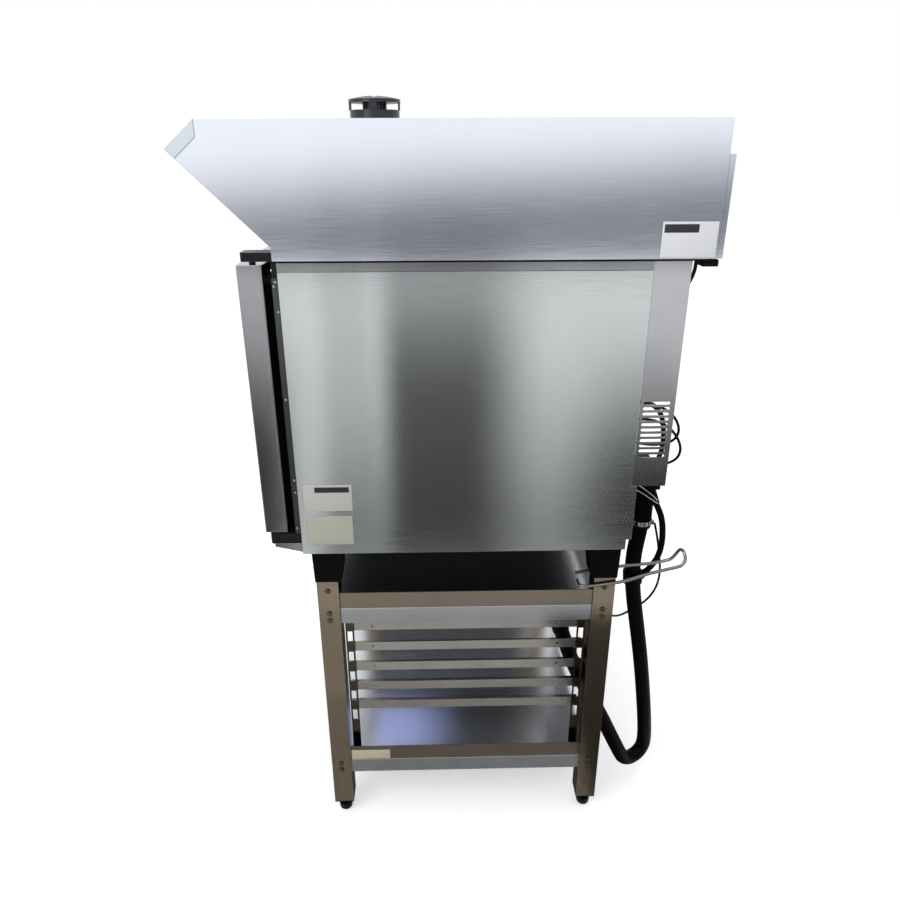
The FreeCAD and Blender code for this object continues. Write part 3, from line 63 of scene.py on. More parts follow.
def screen_colour(red: float, green: float, blue: float) -> Colour:
    """Linear colour from screen values of 0 to 255.

    Args:
        red: Red as it looks on a screen.
        green: Green as it looks on a screen.
        blue: Blue as it looks on a screen.

    Returns:
        The same colour in linear light.
    """
    def linear(value: float) -> float:
        """One part of the colour in linear light."""
        share = value / 255
        return share / 12.92 if share <= 0.04045 else ((share + 0.055) / 1.055) ** 2.4

    return linear(red), linear(green), linear(blue)


def shade(colour: Colour, factor: float) -> Colour:
    """A colour made lighter or darker by a factor, at most white."""
    return tuple(min(1.0, part * factor) for part in colour)


def depth(millimetres: float) -> float:
    """Y of a place that many millimetres behind the case front."""
    return CASE_FRONT + millimetres * MM


class Axis(Enum):
    """One of the frame's axes."""

    X = 0
    Y = 1
    Z = 2


class Body(Enum):
    """Bodies that pieces of this scene ride on."""

    OVEN = "oven"
    DIAL = "dial"


# Materials

class Sheet:
    """Node tree of one material, with short ways to add and join its nodes."""

    def __init__(self, name: str) -> None:
        """Starts a material.

        Args:
            name: The material's name.
        """
        self.material = bpy.data.materials.new(name)
        self.material.use_nodes = True
        self.nodes = self.material.node_tree.nodes
        self.links = self.material.node_tree.links
        self.shader = self.nodes["Principled BSDF"]
        self.place = self.add("ShaderNodeTexCoord").outputs["Object"]
        self.split = self.add("ShaderNodeSeparateXYZ")
        self.links.new(self.place, self.split.inputs[0])

    def add(self, kind: str, **settings: object) -> bpy.types.Node:
        """Adds a node and sets its properties.

        Args:
            kind: The node's type.
            **settings: Properties of the node.

        Returns:
            The node.
        """
        node = self.nodes.new(kind)
        for key, value in settings.items():
            setattr(node, key, value)
        return node

    def along(self, axis: Axis) -> Socket:
        """The place along one axis."""
        return self.split.outputs[axis.value]

    def leaning(self, lean: float) -> Socket:
        """The height, counted from a level that rises to the rear.

        Args:
            lean: Rise per metre.

        Returns:
            The height.
        """
        node = self.add("ShaderNodeMath", operation="MULTIPLY_ADD")
        node.inputs[1].default_value = -lean
        self.links.new(self.along(Axis.Y), node.inputs[0])
        self.links.new(self.along(Axis.Z), node.inputs[2])
        return node.outputs[0]

    def stretched(self, scale: Point) -> Socket:
        """Object coordinates, scaled along each axis.

        Args:
            scale: Factor along X, Y and Z.

        Returns:
            The scaled coordinates.
        """
        mapping = self.add("ShaderNodeMapping")
        mapping.inputs["Scale"].default_value = scale
        self.links.new(self.place, mapping.inputs["Vector"])
        return mapping.outputs["Vector"]

    def noise(self, scale: Point, detail: float = 3.0) -> Socket:
        """Noise of 0 to 1, stretched over the piece.

        Args:
            scale: Cells per metre along X, Y and Z.
            detail: Octaves.

        Returns:
            The noise's value.
        """
        node = self.add("ShaderNodeTexNoise")
        node.inputs["Scale"].default_value = 1.0
        node.inputs["Detail"].default_value = detail
        self.links.new(self.stretched(scale), node.inputs["Vector"])
        return node.outputs["Fac"]

    def span(self, value: Socket, low: float, high: float,
             to_low: float = 0.0, to_high: float = 1.0, smooth: bool = False) -> Socket:
        """Maps a range of a value to another range.

        Args:
            value: The value.
            low: Start of its range.
            high: End of its range.
            to_low: Result at the start.
            to_high: Result at the end.
            smooth: Whether the ends ease in and out.

        Returns:
            The mapped value.
        """
        node = self.add("ShaderNodeMapRange")
        node.interpolation_type = "SMOOTHSTEP" if smooth else "LINEAR"
        for key, number in (("From Min", low), ("From Max", high), ("To Min", to_low), ("To Max", to_high)):
            node.inputs[key].default_value = number
        self.links.new(value, node.inputs["Value"])
        return node.outputs["Result"]

    def ramp(self, value: Socket, *stops: tuple[float, Colour]) -> Socket:
        """Colour that eases between two places along a value.

        Args:
            value: A value of 0 to 1.
            *stops: The two places and their colours.

        Returns:
            The colour.
        """
        node = self.add("ShaderNodeValToRGB")
        node.color_ramp.interpolation = "EASE"
        for element, (position, colour) in zip(node.color_ramp.elements, stops):
            element.position = position
            element.color = (*colour, 1.0)
        self.links.new(value, node.inputs["Fac"])
        return node.outputs["Color"]

    def mix(self, share: Socket | float, first: object, second: object, blend: str = "MIX") -> Socket:
        """Blends two colours.

        Args:
            share: Share of the second one.
            first: A colour or a socket.
            second: A colour or a socket.
            blend: Blender's name for the way of blending.

        Returns:
            The blended colour.
        """
        node = self.add("ShaderNodeMix", data_type="RGBA", blend_type=blend)
        for index, given in ((0, share), (6, first), (7, second)):
            if isinstance(given, Socket):
                self.links.new(given, node.inputs[index])
            elif index:
                node.inputs[index].default_value = (*given, 1.0)
            else:
                node.inputs[index].default_value = given
        return node.outputs[2]

    def vary(self, colour: Socket, value: Socket, amount: float) -> Socket:
        """Lightens and darkens a colour by a value of 0 to 1.

        Args:
            colour: The colour.
            value: The value, with 0.5 for no change.
            amount: Largest change, as a share of the colour.

        Returns:
            The varied colour.
        """
        gain = self.span(value, 0.0, 1.0, 1.0 - amount, 1.0 + amount)
        return self.mix(1.0, colour, gain, "MULTIPLY")

    def product(self, values: Sequence[Socket]) -> Socket:
        """Multiplies values.

        Args:
            values: The values.

        Returns:
            Their product.
        """
        result = values[0]
        for value in values[1:]:
            node = self.add("ShaderNodeMath", operation="MULTIPLY")
            self.links.new(result, node.inputs[0])
            self.links.new(value, node.inputs[1])
            result = node.outputs[0]
        return result

    def relief(self, height: Socket, strength: float, reach: float, edge: float = 0.0) -> None:
        """Bump from a height, over edges that look rounded.

        Args:
            height: The height's value.
            strength: Bump strength.
            reach: Bump depth in metres.
            edge: Radius of the softened edges in metres.
        """
        bump = self.add("ShaderNodeBump")
        bump.inputs["Strength"].default_value = strength
        bump.inputs["Distance"].default_value = reach
        self.links.new(height, bump.inputs["Height"])
        if edge:
            bevel = self.add("ShaderNodeBevel", samples=4)
            bevel.inputs["Radius"].default_value = edge
            self.links.new(bevel.outputs["Normal"], bump.inputs["Normal"])
        self.links.new(bump.outputs["Normal"], self.shader.inputs["Normal"])

    def set(self, **sockets: float) -> None:
        """Sets plain numbers on the shader's own sockets, with spaces for underlines in their names."""
        for key, value in sockets.items():
            self.shader.inputs[key.replace("_", " ")].default_value = value

    def paint(self, colour: Socket) -> None:
        """Joins a colour to the shader."""
        self.links.new(colour, self.shader.inputs["Base Color"])

    def dull(self, noise: Socket, least: float, most: float) -> None:
        """Lets the roughness follow a noise.

        Args:
            noise: The noise.
            least: Roughness where the noise is low.
            most: Roughness where it is high.
        """
        self.links.new(self.span(noise, *NOISE_RANGE, least, most), self.shader.inputs["Roughness"])


@dataclass(frozen=True)
class BrushedSteel:
    """Brushed stainless sheet: fine grain, faint clouds, hairline scratches and painted shade in its seams
    and corners.
    """

    name: str
    tone: Colour
    grain: Axis = Axis.Y
    roughness: float = 0.13
    spread: float = 0.0
    streak: float = 0.05
    cloud: float = 0.06
    edge: float = 1.2 * MM
    # reach of the painted shade in seams and corners
    joint_shade_reach: float = 5.0 * MM
    hairs: tuple[float, float] = (900.0, 9.0)
    scores: tuple[float, float] = (160.0, 3.0)
    patches: float = 6.0
    swing: float = 0.03
    bite: float = 0.012

    def grained(self, fine: float, long: float) -> Point:
        """Scale for a noise drawn out along the grain.

        Args:
            fine: Cells per metre across the grain.
            long: Cells per metre along it.

        Returns:
            Cells per metre along X, Y and Z.
        """
        scale = [fine, fine, fine]
        scale[self.grain.value] = long
        return tuple(scale)

    def material(self) -> bpy.types.Material:
        """Makes the material.

        Returns:
            The material.
        """
        sheet = Sheet(self.name)
        sheet.set(Metallic=1.0, Anisotropic=self.spread, Anisotropic_Rotation=0.25)
        if self.spread:
            tangent = sheet.add("ShaderNodeTangent", direction_type="RADIAL", axis="Z")
            sheet.links.new(tangent.outputs["Tangent"], sheet.shader.inputs["Tangent"])
        streaks = sheet.noise(self.grained(*self.hairs), 2.0)
        clouds = sheet.noise((self.patches,) * 3, 4.0)
        scratches = sheet.span(sheet.noise(self.grained(*self.scores), 0.0), 0.76, 0.86, 0.0, 0.35)
        deeper = shade(self.tone, 1.0 - self.cloud)
        paler = shade(self.tone, 1.0 + self.cloud)
        colour = sheet.vary(sheet.ramp(clouds, (0.3, deeper), (0.7, paler)), streaks, self.streak)
        # painted shade: ambient occlusion darkens the colour in seams, corners and recesses
        joint_shade = sheet.add("ShaderNodeAmbientOcclusion", samples=4)
        joint_shade.inputs["Distance"].default_value = self.joint_shade_reach
        unshaded_share = sheet.span(joint_shade.outputs["AO"], 0.45, 0.95, 0.25, 1.0)
        sheet.paint(sheet.mix(1.0, sheet.mix(scratches, colour, paler), unshaded_share, "MULTIPLY"))
        sheet.dull(streaks, self.roughness - self.swing, self.roughness + self.swing)
        sheet.relief(streaks, self.bite, 0.2 * MM, self.edge)
        return sheet.material


@dataclass(frozen=True)
class Moulding:
    """Moulded plastic, rubber or enamel with a fine skin."""

    name: str
    colour: Colour
    roughness: float = 0.5
    skin: float = 700.0
    depth: float = 0.15
    mottle: float = 0.25
    film: float = 0.25
    swing: float = 0.08
    specular: float = 0.5
    coat: float = 0.0

    def material(self) -> bpy.types.Material:
        """Makes the material.

        Returns:
            The material.
        """
        sheet = Sheet(self.name)
        sheet.set(Specular_IOR_Level=self.specular, Coat_Weight=self.coat, Coat_Roughness=0.2)
        skin = sheet.noise((self.skin,) * 3, 2.0)
        dust = sheet.noise((11.0, 11.0, 11.0), 4.0)
        darker, lighter = shade(self.colour, 1.0 - self.film), shade(self.colour, 1.0 + self.film)
        colour = sheet.ramp(dust, (0.3, darker), (0.7, lighter))
        sheet.paint(sheet.vary(colour, skin, self.mottle))
        sheet.dull(dust, self.roughness - self.swing, self.roughness + self.swing)
        sheet.relief(skin, self.depth, 0.15 * MM, 1.0 * MM)
        return sheet.material


@dataclass(frozen=True)
class TintedGlass:
    """Dark door glass with faint smears."""

    name: str
    tint: Colour
    alpha: float = 0.5

    def material(self) -> bpy.types.Material:
        """Makes the material.

        Returns:
            The material.
        """
        sheet = Sheet(self.name)
        sheet.set(Alpha=self.alpha, IOR=1.5, Coat_Weight=0.4, Coat_Roughness=0.03)
        smear = sheet.noise((6.0, 6.0, 2.0), 5.0)
        sheet.paint(sheet.ramp(smear, (0.35, shade(self.tint, 0.6)), (0.65, self.tint)))
        sheet.dull(smear, 0.04, 0.13)
        return sheet.material


@dataclass(frozen=True)
class MineralWool:
    """Fibrous insulation slab."""

    name: str
    colour: Colour

    def material(self) -> bpy.types.Material:
        """Makes the material.

        Returns:
            The material.
        """
        sheet = Sheet(self.name)
        fibre = sheet.noise((60.0, 260.0, 420.0), 6.0)
        sheet.paint(sheet.ramp(fibre, (0.3, shade(self.colour, 0.6)), (0.7, self.colour)))
        sheet.set(Roughness=0.95)
        sheet.relief(fibre, 0.8, 2 * MM)
        return sheet.material


@dataclass(frozen=True)
class BlankLabel:
    """Plain stuck-on label: pale field, perhaps with a dark bar, and no words."""

    name: str
    field_colour: Colour
    bar_colour: Colour
    bar_low: tuple[float, float]
    bar_high: tuple[float, float]
    blur: float = 0.3 * MM

    def material(self) -> bpy.types.Material:
        """Makes the material.

        Returns:
            The material.
        """
        sheet = Sheet(self.name)
        paper = sheet.noise((300.0, 300.0, 300.0), 3.0)
        sides = []
        for axis, low, high in zip((Axis.Y, Axis.Z), self.bar_low, self.bar_high):
            place = sheet.along(axis)
            sides.append(sheet.span(place, low - self.blur, low + self.blur))
            sides.append(sheet.span(place, high + self.blur, high - self.blur))
        colour = sheet.mix(sheet.product(sides), self.field_colour, self.bar_colour)
        sheet.paint(sheet.vary(colour, paper, 0.06))
        sheet.dull(paper, 0.35, 0.5)
        sheet.relief(paper, 0.05, 0.1 * MM)
        return sheet.material


@dataclass(frozen=True)
class ScreenGlass:
    """Dark touch screen with a faint grid of blank tiles."""

    name: str
    node: str
    columns: int
    rows: int
    dark: Colour
    lit: Colour

    def material(self) -> bpy.types.Material:
        """Makes the material.

        Returns:
            The material.
        """
        sheet = Sheet(self.name)
        low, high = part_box(self.node)
        width = (high[0] - low[0]) / self.columns
        turned = sheet.add("ShaderNodeCombineXYZ")
        sheet.links.new(sheet.along(Axis.X), turned.inputs["X"])
        sheet.links.new(sheet.along(Axis.Z), turned.inputs["Y"])
        tiles = sheet.add("ShaderNodeTexBrick", offset=0.0)
        tiles.inputs["Scale"].default_value = 1.0
        tiles.inputs["Brick Width"].default_value = width
        tiles.inputs["Row Height"].default_value = (high[2] - low[2]) / self.rows
        tiles.inputs["Mortar Size"].default_value = width * 0.06
        tiles.inputs["Color1"].default_value = (*self.lit, 1.0)
        tiles.inputs["Color2"].default_value = (*shade(self.lit, 0.7), 1.0)
        tiles.inputs["Mortar"].default_value = (*self.dark, 1.0)
        shift = sheet.add("ShaderNodeVectorMath", operation="SUBTRACT")
        shift.inputs[1].default_value = (low[0], low[2], 0.0)
        sheet.links.new(turned.outputs["Vector"], shift.inputs[0])
        sheet.links.new(shift.outputs["Vector"], tiles.inputs["Vector"])
        sheet.paint(tiles.outputs["Color"])
        smear = sheet.noise((9.0, 9.0, 4.0), 4.0)
        sheet.dull(smear, 0.04, 0.12)
        sheet.set(Coat_Weight=0.6, Coat_Roughness=0.03)
        return sheet.material


Finish = BrushedSteel | Moulding | TintedGlass | MineralWool | BlankLabel | ScreenGlass


# Finishes

CASE_STEEL = BrushedSteel("case steel", screen_colour(206, 211, 212), spread=0.8, streak=0.03, cloud=0.015,
                          edge=0.8 * MM)
ROOF_STEEL = BrushedSteel("roof steel", screen_colour(158, 159, 161))
# front frame steel given a dark tone: painted shade of the door gap
FRAME_IN_PAINTED_SHADE = BrushedSteel("frame in painted shade", screen_colour(82, 83, 85), Axis.Z)
# near-white bluish tone of the hood's stainless sheet: painted bright reflection
HOOD_WITH_PAINTED_SHEEN = BrushedSteel("hood with painted sheen", screen_colour(237, 242, 252), streak=0.015, cloud=0.01)
LIP_STEEL = BrushedSteel("lip steel", screen_colour(212, 223, 230), streak=0.03, cloud=0.03)
WING_STEEL = BrushedSteel("wing steel", screen_colour(188, 190, 193), Axis.Z, edge=0.6 * MM)
DOOR_STEEL = BrushedSteel("door steel", screen_colour(168, 168, 172), Axis.Z, edge=3.0 * MM)
# warm beige tone of the stainless legs: painted warm reflection
LEGS_WITH_PAINTED_REFLECTION = BrushedSteel("legs with painted reflection", screen_colour(144, 132, 114), Axis.Z)
BOLT_STEEL = BrushedSteel("bolt steel", screen_colour(108, 96, 80), Axis.Z, 0.3)
# warm tone of the stainless rims: painted warm reflection
RIMS_WITH_PAINTED_REFLECTION = BrushedSteel("rims with painted reflection", screen_colour(131, 121, 109))
BEAM_STEEL = BrushedSteel("beam steel", screen_colour(168, 170, 173))
SHELF_STEEL = BrushedSteel("shelf steel", screen_colour(226, 228, 232), Axis.Y, 0.2)
RUNNER_STEEL = BrushedSteel("runner steel", screen_colour(176, 172, 166))
# runner uprights given a dark brown tone: painted shade inside the stand
UPRIGHTS_IN_PAINTED_SHADE = BrushedSteel("uprights in painted shade", screen_colour(84, 76, 66), Axis.Z)
HOOK_STEEL = BrushedSteel("hook steel", screen_colour(150, 150, 148), Axis.Y, 0.3)
CAVITY_STEEL = BrushedSteel("cavity steel", screen_colour(176, 176, 174), Axis.Y, 0.2)
BRIGHT_STEEL = BrushedSteel("bright steel", screen_colour(208, 208, 210), Axis.X, 0.16)
HEATER_STEEL = BrushedSteel("heat-darkened tube", screen_colour(84, 76, 70), Axis.Y, 0.45)
# near-black oven underside: painted shade of the gap above the stand
UNDERSIDE_PAINTED_SHADE = Moulding("underside painted shade", screen_colour(4, 4, 5), 0.42, specular=0.05)
# black hood floor: painted shadow line under the hood
HOOD_FLOOR_PAINTED_SHADOW = Moulding("hood floor painted shadow", screen_colour(10, 10, 11), 0.6, specular=0.12)
BLACK_MOULDING = Moulding("black moulding", screen_colour(8, 8, 9), 0.45, specular=0.06)
COWL_BLACK = Moulding("cowl black", screen_colour(22, 23, 32), 0.3, specular=0.5)
BLACK_ENAMEL = Moulding("black enamel", screen_colour(18, 18, 24), 0.35, skin=1200.0, depth=0.05,
                        specular=0.25)
BLACK_RUBBER = Moulding("black rubber", screen_colour(7, 7, 7), 0.6, specular=0.05)
SEAL_RUBBER = Moulding("seal rubber", screen_colour(24, 25, 25), 0.6, specular=0.15)
HOSE_RUBBER = Moulding("hose rubber", screen_colour(7, 7, 7), 0.5, skin=420.0, depth=0.25, specular=0.06)
LEAD_SLEEVE = Moulding("lead sleeve", screen_colour(10, 10, 11), 0.4, specular=0.15)
MOTOR_PAINT = Moulding("motor paint", screen_colour(60, 61, 63), 0.4, coat=0.2)
PANEL_GLOSS = Moulding("panel gloss", screen_colour(30, 30, 32), 0.18, skin=1500.0, depth=0.02, coat=0.5)
KEY_GREY = Moulding("key grey", screen_colour(150, 150, 152), 0.4)
BOARD_GREEN = Moulding("board green", screen_colour(36, 92, 56), 0.35, skin=300.0)
WOOL = MineralWool("mineral wool", screen_colour(205, 190, 140))
DOOR_GLASS = TintedGlass("door glass", screen_colour(40, 42, 42))
SCREEN = ScreenGlass("screen", "display_glass", 4, 5, screen_colour(10, 11, 13), screen_colour(44, 56, 70))

NODE_FINISHES = {
    LEGS_WITH_PAINTED_REFLECTION: ("stand_legs",),
    RIMS_WITH_PAINTED_REFLECTION: ("stand_rims",),
    BEAM_STEEL: ("stand_top_beams", "stand_low_beams"),
    SHELF_STEEL: ("stand_shelf", "stand_deck"),
    UNDERSIDE_PAINTED_SHADE: ("base_pan",),
    UPRIGHTS_IN_PAINTED_SHADE: ("runner_uprights",),
    RUNNER_STEEL: ("tray_runners",),
    BOLT_STEEL: ("stand_bolts",),
    BRIGHT_STEEL: ("door_latch", "door_catch", "hose_clamp", "control_dial"),
    HOOK_STEEL: ("wire_hook",),
    CASE_STEEL: ("side_panel_right", "side_panel_left", "rear_panel"),
    ROOF_STEEL: ("top_panel", "drip_tray"),
    FRAME_IN_PAINTED_SHADE: ("front_frame",),
    WING_STEEL: ("rear_wings",),
    HOOD_WITH_PAINTED_SHEEN: ("hood_canopy", "hood_rear_cover"),
    LIP_STEEL: ("hood_lip",),
    DOOR_STEEL: ("door_shell",),
    CAVITY_STEEL: (
        "cavity_liner", "air_baffle", "fan_wheel", "hanging_racks", "steam_generator", "grease_filters",
        "hood_fan_wheel", "vent_pipe",
    ),
    HEATER_STEEL: ("heating_element",),
    HOOD_FLOOR_PAINTED_SHADOW: ("hood_floor",),
    BLACK_MOULDING: ("stand_feet", "oven_feet", "door_handle", "terminal_box", "hose_fittings"),
    COWL_BLACK: ("vent_cap",),
    BLACK_ENAMEL: ("hinge_brackets",),
    BLACK_RUBBER: ("drain_boot",),
    SEAL_RUBBER: ("door_gasket",),
    MOTOR_PAINT: ("fan_motor", "hood_fan_motor"),
    PANEL_GLOSS: ("control_panel",),
    KEY_GREY: ("key_left", "key_right", "power_button"),
    BOARD_GREEN: ("electronics_board",),
    WOOL: ("insulation",),
    DOOR_GLASS: ("door_outer_glass", "door_inner_glass"),
    SCREEN: ("display_glass",),
}


class Palette:
    """Materials made so far, one per finish."""

    def __init__(self) -> None:
        """Starts with no material."""
        self.made: dict[Finish, bpy.types.Material] = {}

    def of(self, finish: Finish) -> bpy.types.Material:
        """The finish's material, made once.

        Args:
            finish: One of the finishes above.

        Returns:
            Its material.
        """
        if finish not in self.made:
            self.made[finish] = finish.material()
        return self.made[finish]

    def dress(self, piece: Piece, finish: Finish) -> None:
        """Gives a piece its finish.

        Args:
            piece: The piece.
            finish: Its finish.
        """
        piece.data.materials.clear()
        piece.data.materials.append(self.of(finish))

    def dress_nodes(self) -> None:
        """Gives every CAD node its finish."""
        for finish, nodes in NODE_FINISHES.items():
            for node in nodes:
                self.dress(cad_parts[node], finish)


# Modelling by hand

def deselect() -> None:
    """Leaves nothing selected."""
    bpy.ops.object.select_all(action="DESELECT")


def choose(piece: Piece) -> None:
    """Selects one piece alone and makes it the active one.

    Args:
        piece: The piece.
    """
    deselect()
    piece.select_set(True)
    bpy.context.view_layer.objects.active = piece


def edit(piece: Piece) -> None:
    """Opens one piece in edit mode, with all of it selected.

    Args:
        piece: The piece.
    """
    choose(piece)
    bpy.ops.object.mode_set(mode="EDIT")
    bpy.ops.mesh.select_all(action="SELECT")


def leave_edit() -> None:
    """Goes back to object mode."""
    bpy.ops.object.mode_set(mode="OBJECT")


def pick(piece: Piece, wanted: Callable[[Vector], bool]) -> None:
    """Selects, in edit mode, the vertices at wanted places and the edges and faces between them.

    Args:
        piece: The piece that is being edited.
        wanted: Says for a vertex's place whether it is wanted.
    """
    bpy.ops.mesh.select_mode(type="VERT")
    bpy.ops.mesh.select_all(action="DESELECT")
    leave_edit()
    for vertex in piece.data.vertices:
        vertex.select = wanted(vertex.co)
    bpy.ops.object.mode_set(mode="EDIT")


def take_new(name: str, scale: Sequence[float] = (1.0, 1.0, 1.0)) -> Piece:
    """Names the primitive just added and puts its place and size into its mesh.

    Args:
        name: The piece's name.
        scale: Its size along its own axes, for a primitive of size one.

    Returns:
        The piece.
    """
    piece = bpy.context.active_object
    piece.name = name
    piece.data.name = name
    piece.scale = scale
    bpy.ops.object.transform_apply(location=True, rotation=True, scale=True)
    return piece


def soften(piece: Piece, width: float, segments: int = 2) -> None:
    """Rounds all edges of a piece.

    Args:
        piece: The piece.
        width: Width of the bevel.
        segments: Faces across it.
    """
    edit(piece)
    bpy.ops.mesh.bevel(offset=width, segments=segments, affect="EDGES")
    leave_edit()


def add_block(name: str, low: Point, high: Point, round_off: float) -> Piece:
    """Block with rounded edges.

    Args:
        name: The piece's name.
        low: Lowest corner.
        high: Highest corner.
        round_off: Width of the bevel.

    Returns:
        The piece.
    """
    deselect()
    middle = [(a + b) / 2 for a, b in zip(low, high)]
    size = [b - a for a, b in zip(low, high)]
    bpy.ops.mesh.primitive_cube_add(size=1.0, location=middle)
    piece = take_new(name, size)
    soften(piece, round_off)
    return piece


def copies_of(first: Piece, moves: Sequence[Matrix]) -> list[Piece]:
    """Copies a piece, each copy with its own mesh.

    Args:
        first: The piece.
        moves: Where each copy goes, counted from the first one.

    Returns:
        The first piece and its copies.
    """
    row = [first]
    for move in moves:
        twin = first.copy()
        twin.data = first.data.copy()
        bpy.context.collection.objects.link(twin)
        twin.matrix_world = move
        row.append(twin)
    return row


def join(pieces: Sequence[Piece], name: str) -> Piece:
    """Makes one piece of several, with its place in its mesh.

    Args:
        pieces: The pieces.
        name: The name of the whole.

    Returns:
        The whole.
    """
    deselect()
    for piece in pieces:
        piece.select_set(True)
    bpy.context.view_layer.objects.active = pieces[0]
    bpy.ops.object.join()
    whole = bpy.context.active_object
    whole.name = name
    whole.data.name = name
    bpy.ops.object.transform_apply(location=True, rotation=True, scale=True)
    return whole


def cut(piece: Piece, tool: Piece) -> None:
    """Cuts a tool's shape out of a piece and removes the tool.

    Args:
        piece: The piece.
        tool: The tool.
    """
    modifier = piece.modifiers.new("cut", "BOOLEAN")
    modifier.operation = "DIFFERENCE"
    modifier.object = tool
    modifier.solver = "EXACT"
    choose(piece)
    bpy.ops.object.modifier_apply(modifier=modifier.name)
    bpy.data.objects.remove(tool, do_unlink=True)


def finish_piece(piece: Piece, body: Body) -> None:
    """Smooths a piece where it isn't sharp and lets it ride on its body.

    Args:
        piece: The piece.
        body: The body that carries it.
    """
    choose(piece)
    bpy.ops.object.shade_smooth_by_angle(angle=SHARP_ANGLE)
    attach(piece, body.value)
    log.info("piece %s on %s", piece.name, body.value)


# Hoses and leads

class Ending(Enum):
    """What is on a cord's far end."""

    FITTING = "fitting"
    OBJECT = "object"


@dataclass
class Cord:
    """One hose, lead or capillary line on its route."""

    name: str
    node: str
    finish: Finish
    radius: float
    length: float
    points: Sequence[Point]
    ending: Ending = Ending.OBJECT
    stiffness: str = "medium"
    fittings: Sequence[str] = ()

    def build(self, palette: Palette) -> None:
        """Args:
            palette: Where its material comes from.
        """
        route = [Vector((x * MM, depth(back), z * MM)) for x, back, z in self.points]
        curve = bpy.data.curves.new(self.name, "CURVE")
        curve.dimensions = "3D"
        curve.bevel_depth = self.radius * MM
        curve.bevel_resolution = 6
        curve.use_fill_caps = True
        spline = curve.splines.new("NURBS")
        spline.points.add(len(route) - 1)
        for point, place in zip(spline.points, route):
            point.co = (*place, 1.0)
        spline.order_u = 3
        spline.use_endpoint_u = True
        spline.resolution_u = 10
        piece = bpy.data.objects.new(self.name, curve)
        bpy.context.collection.objects.link(piece)
        palette.dress(piece, self.finish)
        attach(piece, Body.OVEN.value)
        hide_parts(self.node)
        log.info("cord %s, %.2f m", self.name, self.length)


CORDS = (
    Cord("drain_hose_line", "drain_hose", HOSE_RUBBER, 21.0, 1.417, (
        (388, 866, 890), (388, 861, 845), (388, 857, 795), (387, 860, 735), (385, 871, 663),
        (382, 890, 570), (377, 912, 460), (372, 931, 350), (367, 946, 255), (363.5, 955, 190),
        (361.5, 960, 146), (361, 960, 105.4), (369, 942.5, 80.9), (381.6, 914.9, 73.6),
        (393.4, 889.1, 86.7), (401.9, 870.5, 126.8), (405, 840, 192), (404, 807, 264),
        (402.5, 769, 336), (402, 734, 405), (402, 706, 470), (401.5, 686, 528), (401, 671, 572),
    ), Ending.FITTING, "medium", ("hose_fittings",)),
    Cord("condensate_hose_line", "condensate_hose", HOSE_RUBBER, 8.0, 0.241, (
        (432, 886.4, 979.2), (430.5, 901, 952), (426.5, 911, 920), (420, 918, 882), (413, 921, 842),
        (406, 917, 804), (399.5, 906, 774), (394, 893, 753),
    )),
    Cord("bonding_lead_line", "bonding_lead", LEAD_SLEEVE, 3.0, 0.483, (
        (400, 900.2, 905), (400, 906, 884), (395, 914, 856), (389, 922, 826), (383, 930, 792),
        (376, 938, 755), (371, 941, 718), (367, 937, 683), (362, 926, 652), (356, 909, 625),
        (353, 886, 607), (363, 864, 600), (383, 844, 606), (406, 826, 619), (428, 811, 634),
        (446, 799, 648), (457, 788.2, 657),
    ), stiffness="limp"),
    Cord("wing_lead_upper", "rear_leads", LEAD_SLEEVE, 3.2, 0.270, (
        (500, 788.4, 1272), (500, 822, 1271), (500, 852, 1262), (500, 876, 1246), (500, 892, 1224),
        (499, 898, 1200), (497, 890, 1180), (494, 870, 1169), (491, 845, 1165), (489, 818, 1167),
        (488, 788.4, 1172),
    )),
    Cord("wing_lead_lower", "rear_leads", LEAD_SLEEVE, 3.2, 0.293, (
        (508, 788.4, 1238), (508, 820, 1237), (508, 848, 1229), (508, 874, 1213), (508, 894, 1188),
        (507, 905, 1160), (505, 900, 1136), (502, 881, 1122), (499, 856, 1117), (497, 825, 1119),
        (496, 788.4, 1124),
    )),
    Cord("wing_loom", "rear_leads", LEAD_SLEEVE, 6.0, 0.245, (
        (486, 788.4, 1272), (486, 812, 1271), (485, 836, 1263), (484, 853, 1245), (482, 862, 1222),
        (478, 868, 1196), (473, 872, 1168), (467, 873, 1140), (460, 868, 1114), (456, 864, 1096),
        (455.5, 863.2, 1079.4),
    )),
    Cord("hood_lead", "rear_leads", LEAD_SLEEVE, 4.0, 0.153, (
        (500, 887, 1597.5), (500, 887.5, 1584), (500, 885, 1566), (500, 877, 1546),
        (500, 862, 1529), (500, 840, 1517), (500, 814, 1511), (500, 788.4, 1509.5),
    )),
    Cord("capillary_upper", "rear_leads", BRIGHT_STEEL, 1.5, 0.131, (
        (480, 788.4, 1060), (480, 808, 1058), (479, 828, 1050), (476, 845, 1036), (472, 861, 1022),
        (466, 874, 1009), (457, 882, 1000), (446, 884, 995.5),
    ), stiffness="stiff"),
    Cord("capillary_lower", "rear_leads", BRIGHT_STEEL, 1.5, 0.126, (
        (472, 788.4, 1044), (472, 807, 1042), (471, 826, 1034), (469, 843, 1022), (465, 860, 1009),
        (459, 875, 997), (451, 885, 989), (443.5, 888, 984.5),
    ), stiffness="stiff"),
)


# Small pieces on the case, the hood and the door

@dataclass
class LabelPlate:
    """Bare label on a side of the object."""

    name: str
    face: float
    low: tuple[float, float]
    high: tuple[float, float]
    finish: BlankLabel
    thick: float = 0.5 * MM
    fold: float = 0.15 * MM

    def build(self, palette: Palette) -> None:
        """Lays the label on its sheet.

        Args:
            palette: Where its material comes from.
        """
        low = (self.face, *self.low)
        high = (self.face + self.thick, *self.high)
        piece = add_block(self.name, low, high, self.fold)
        palette.dress(piece, self.finish)
        finish_piece(piece, Body.OVEN)


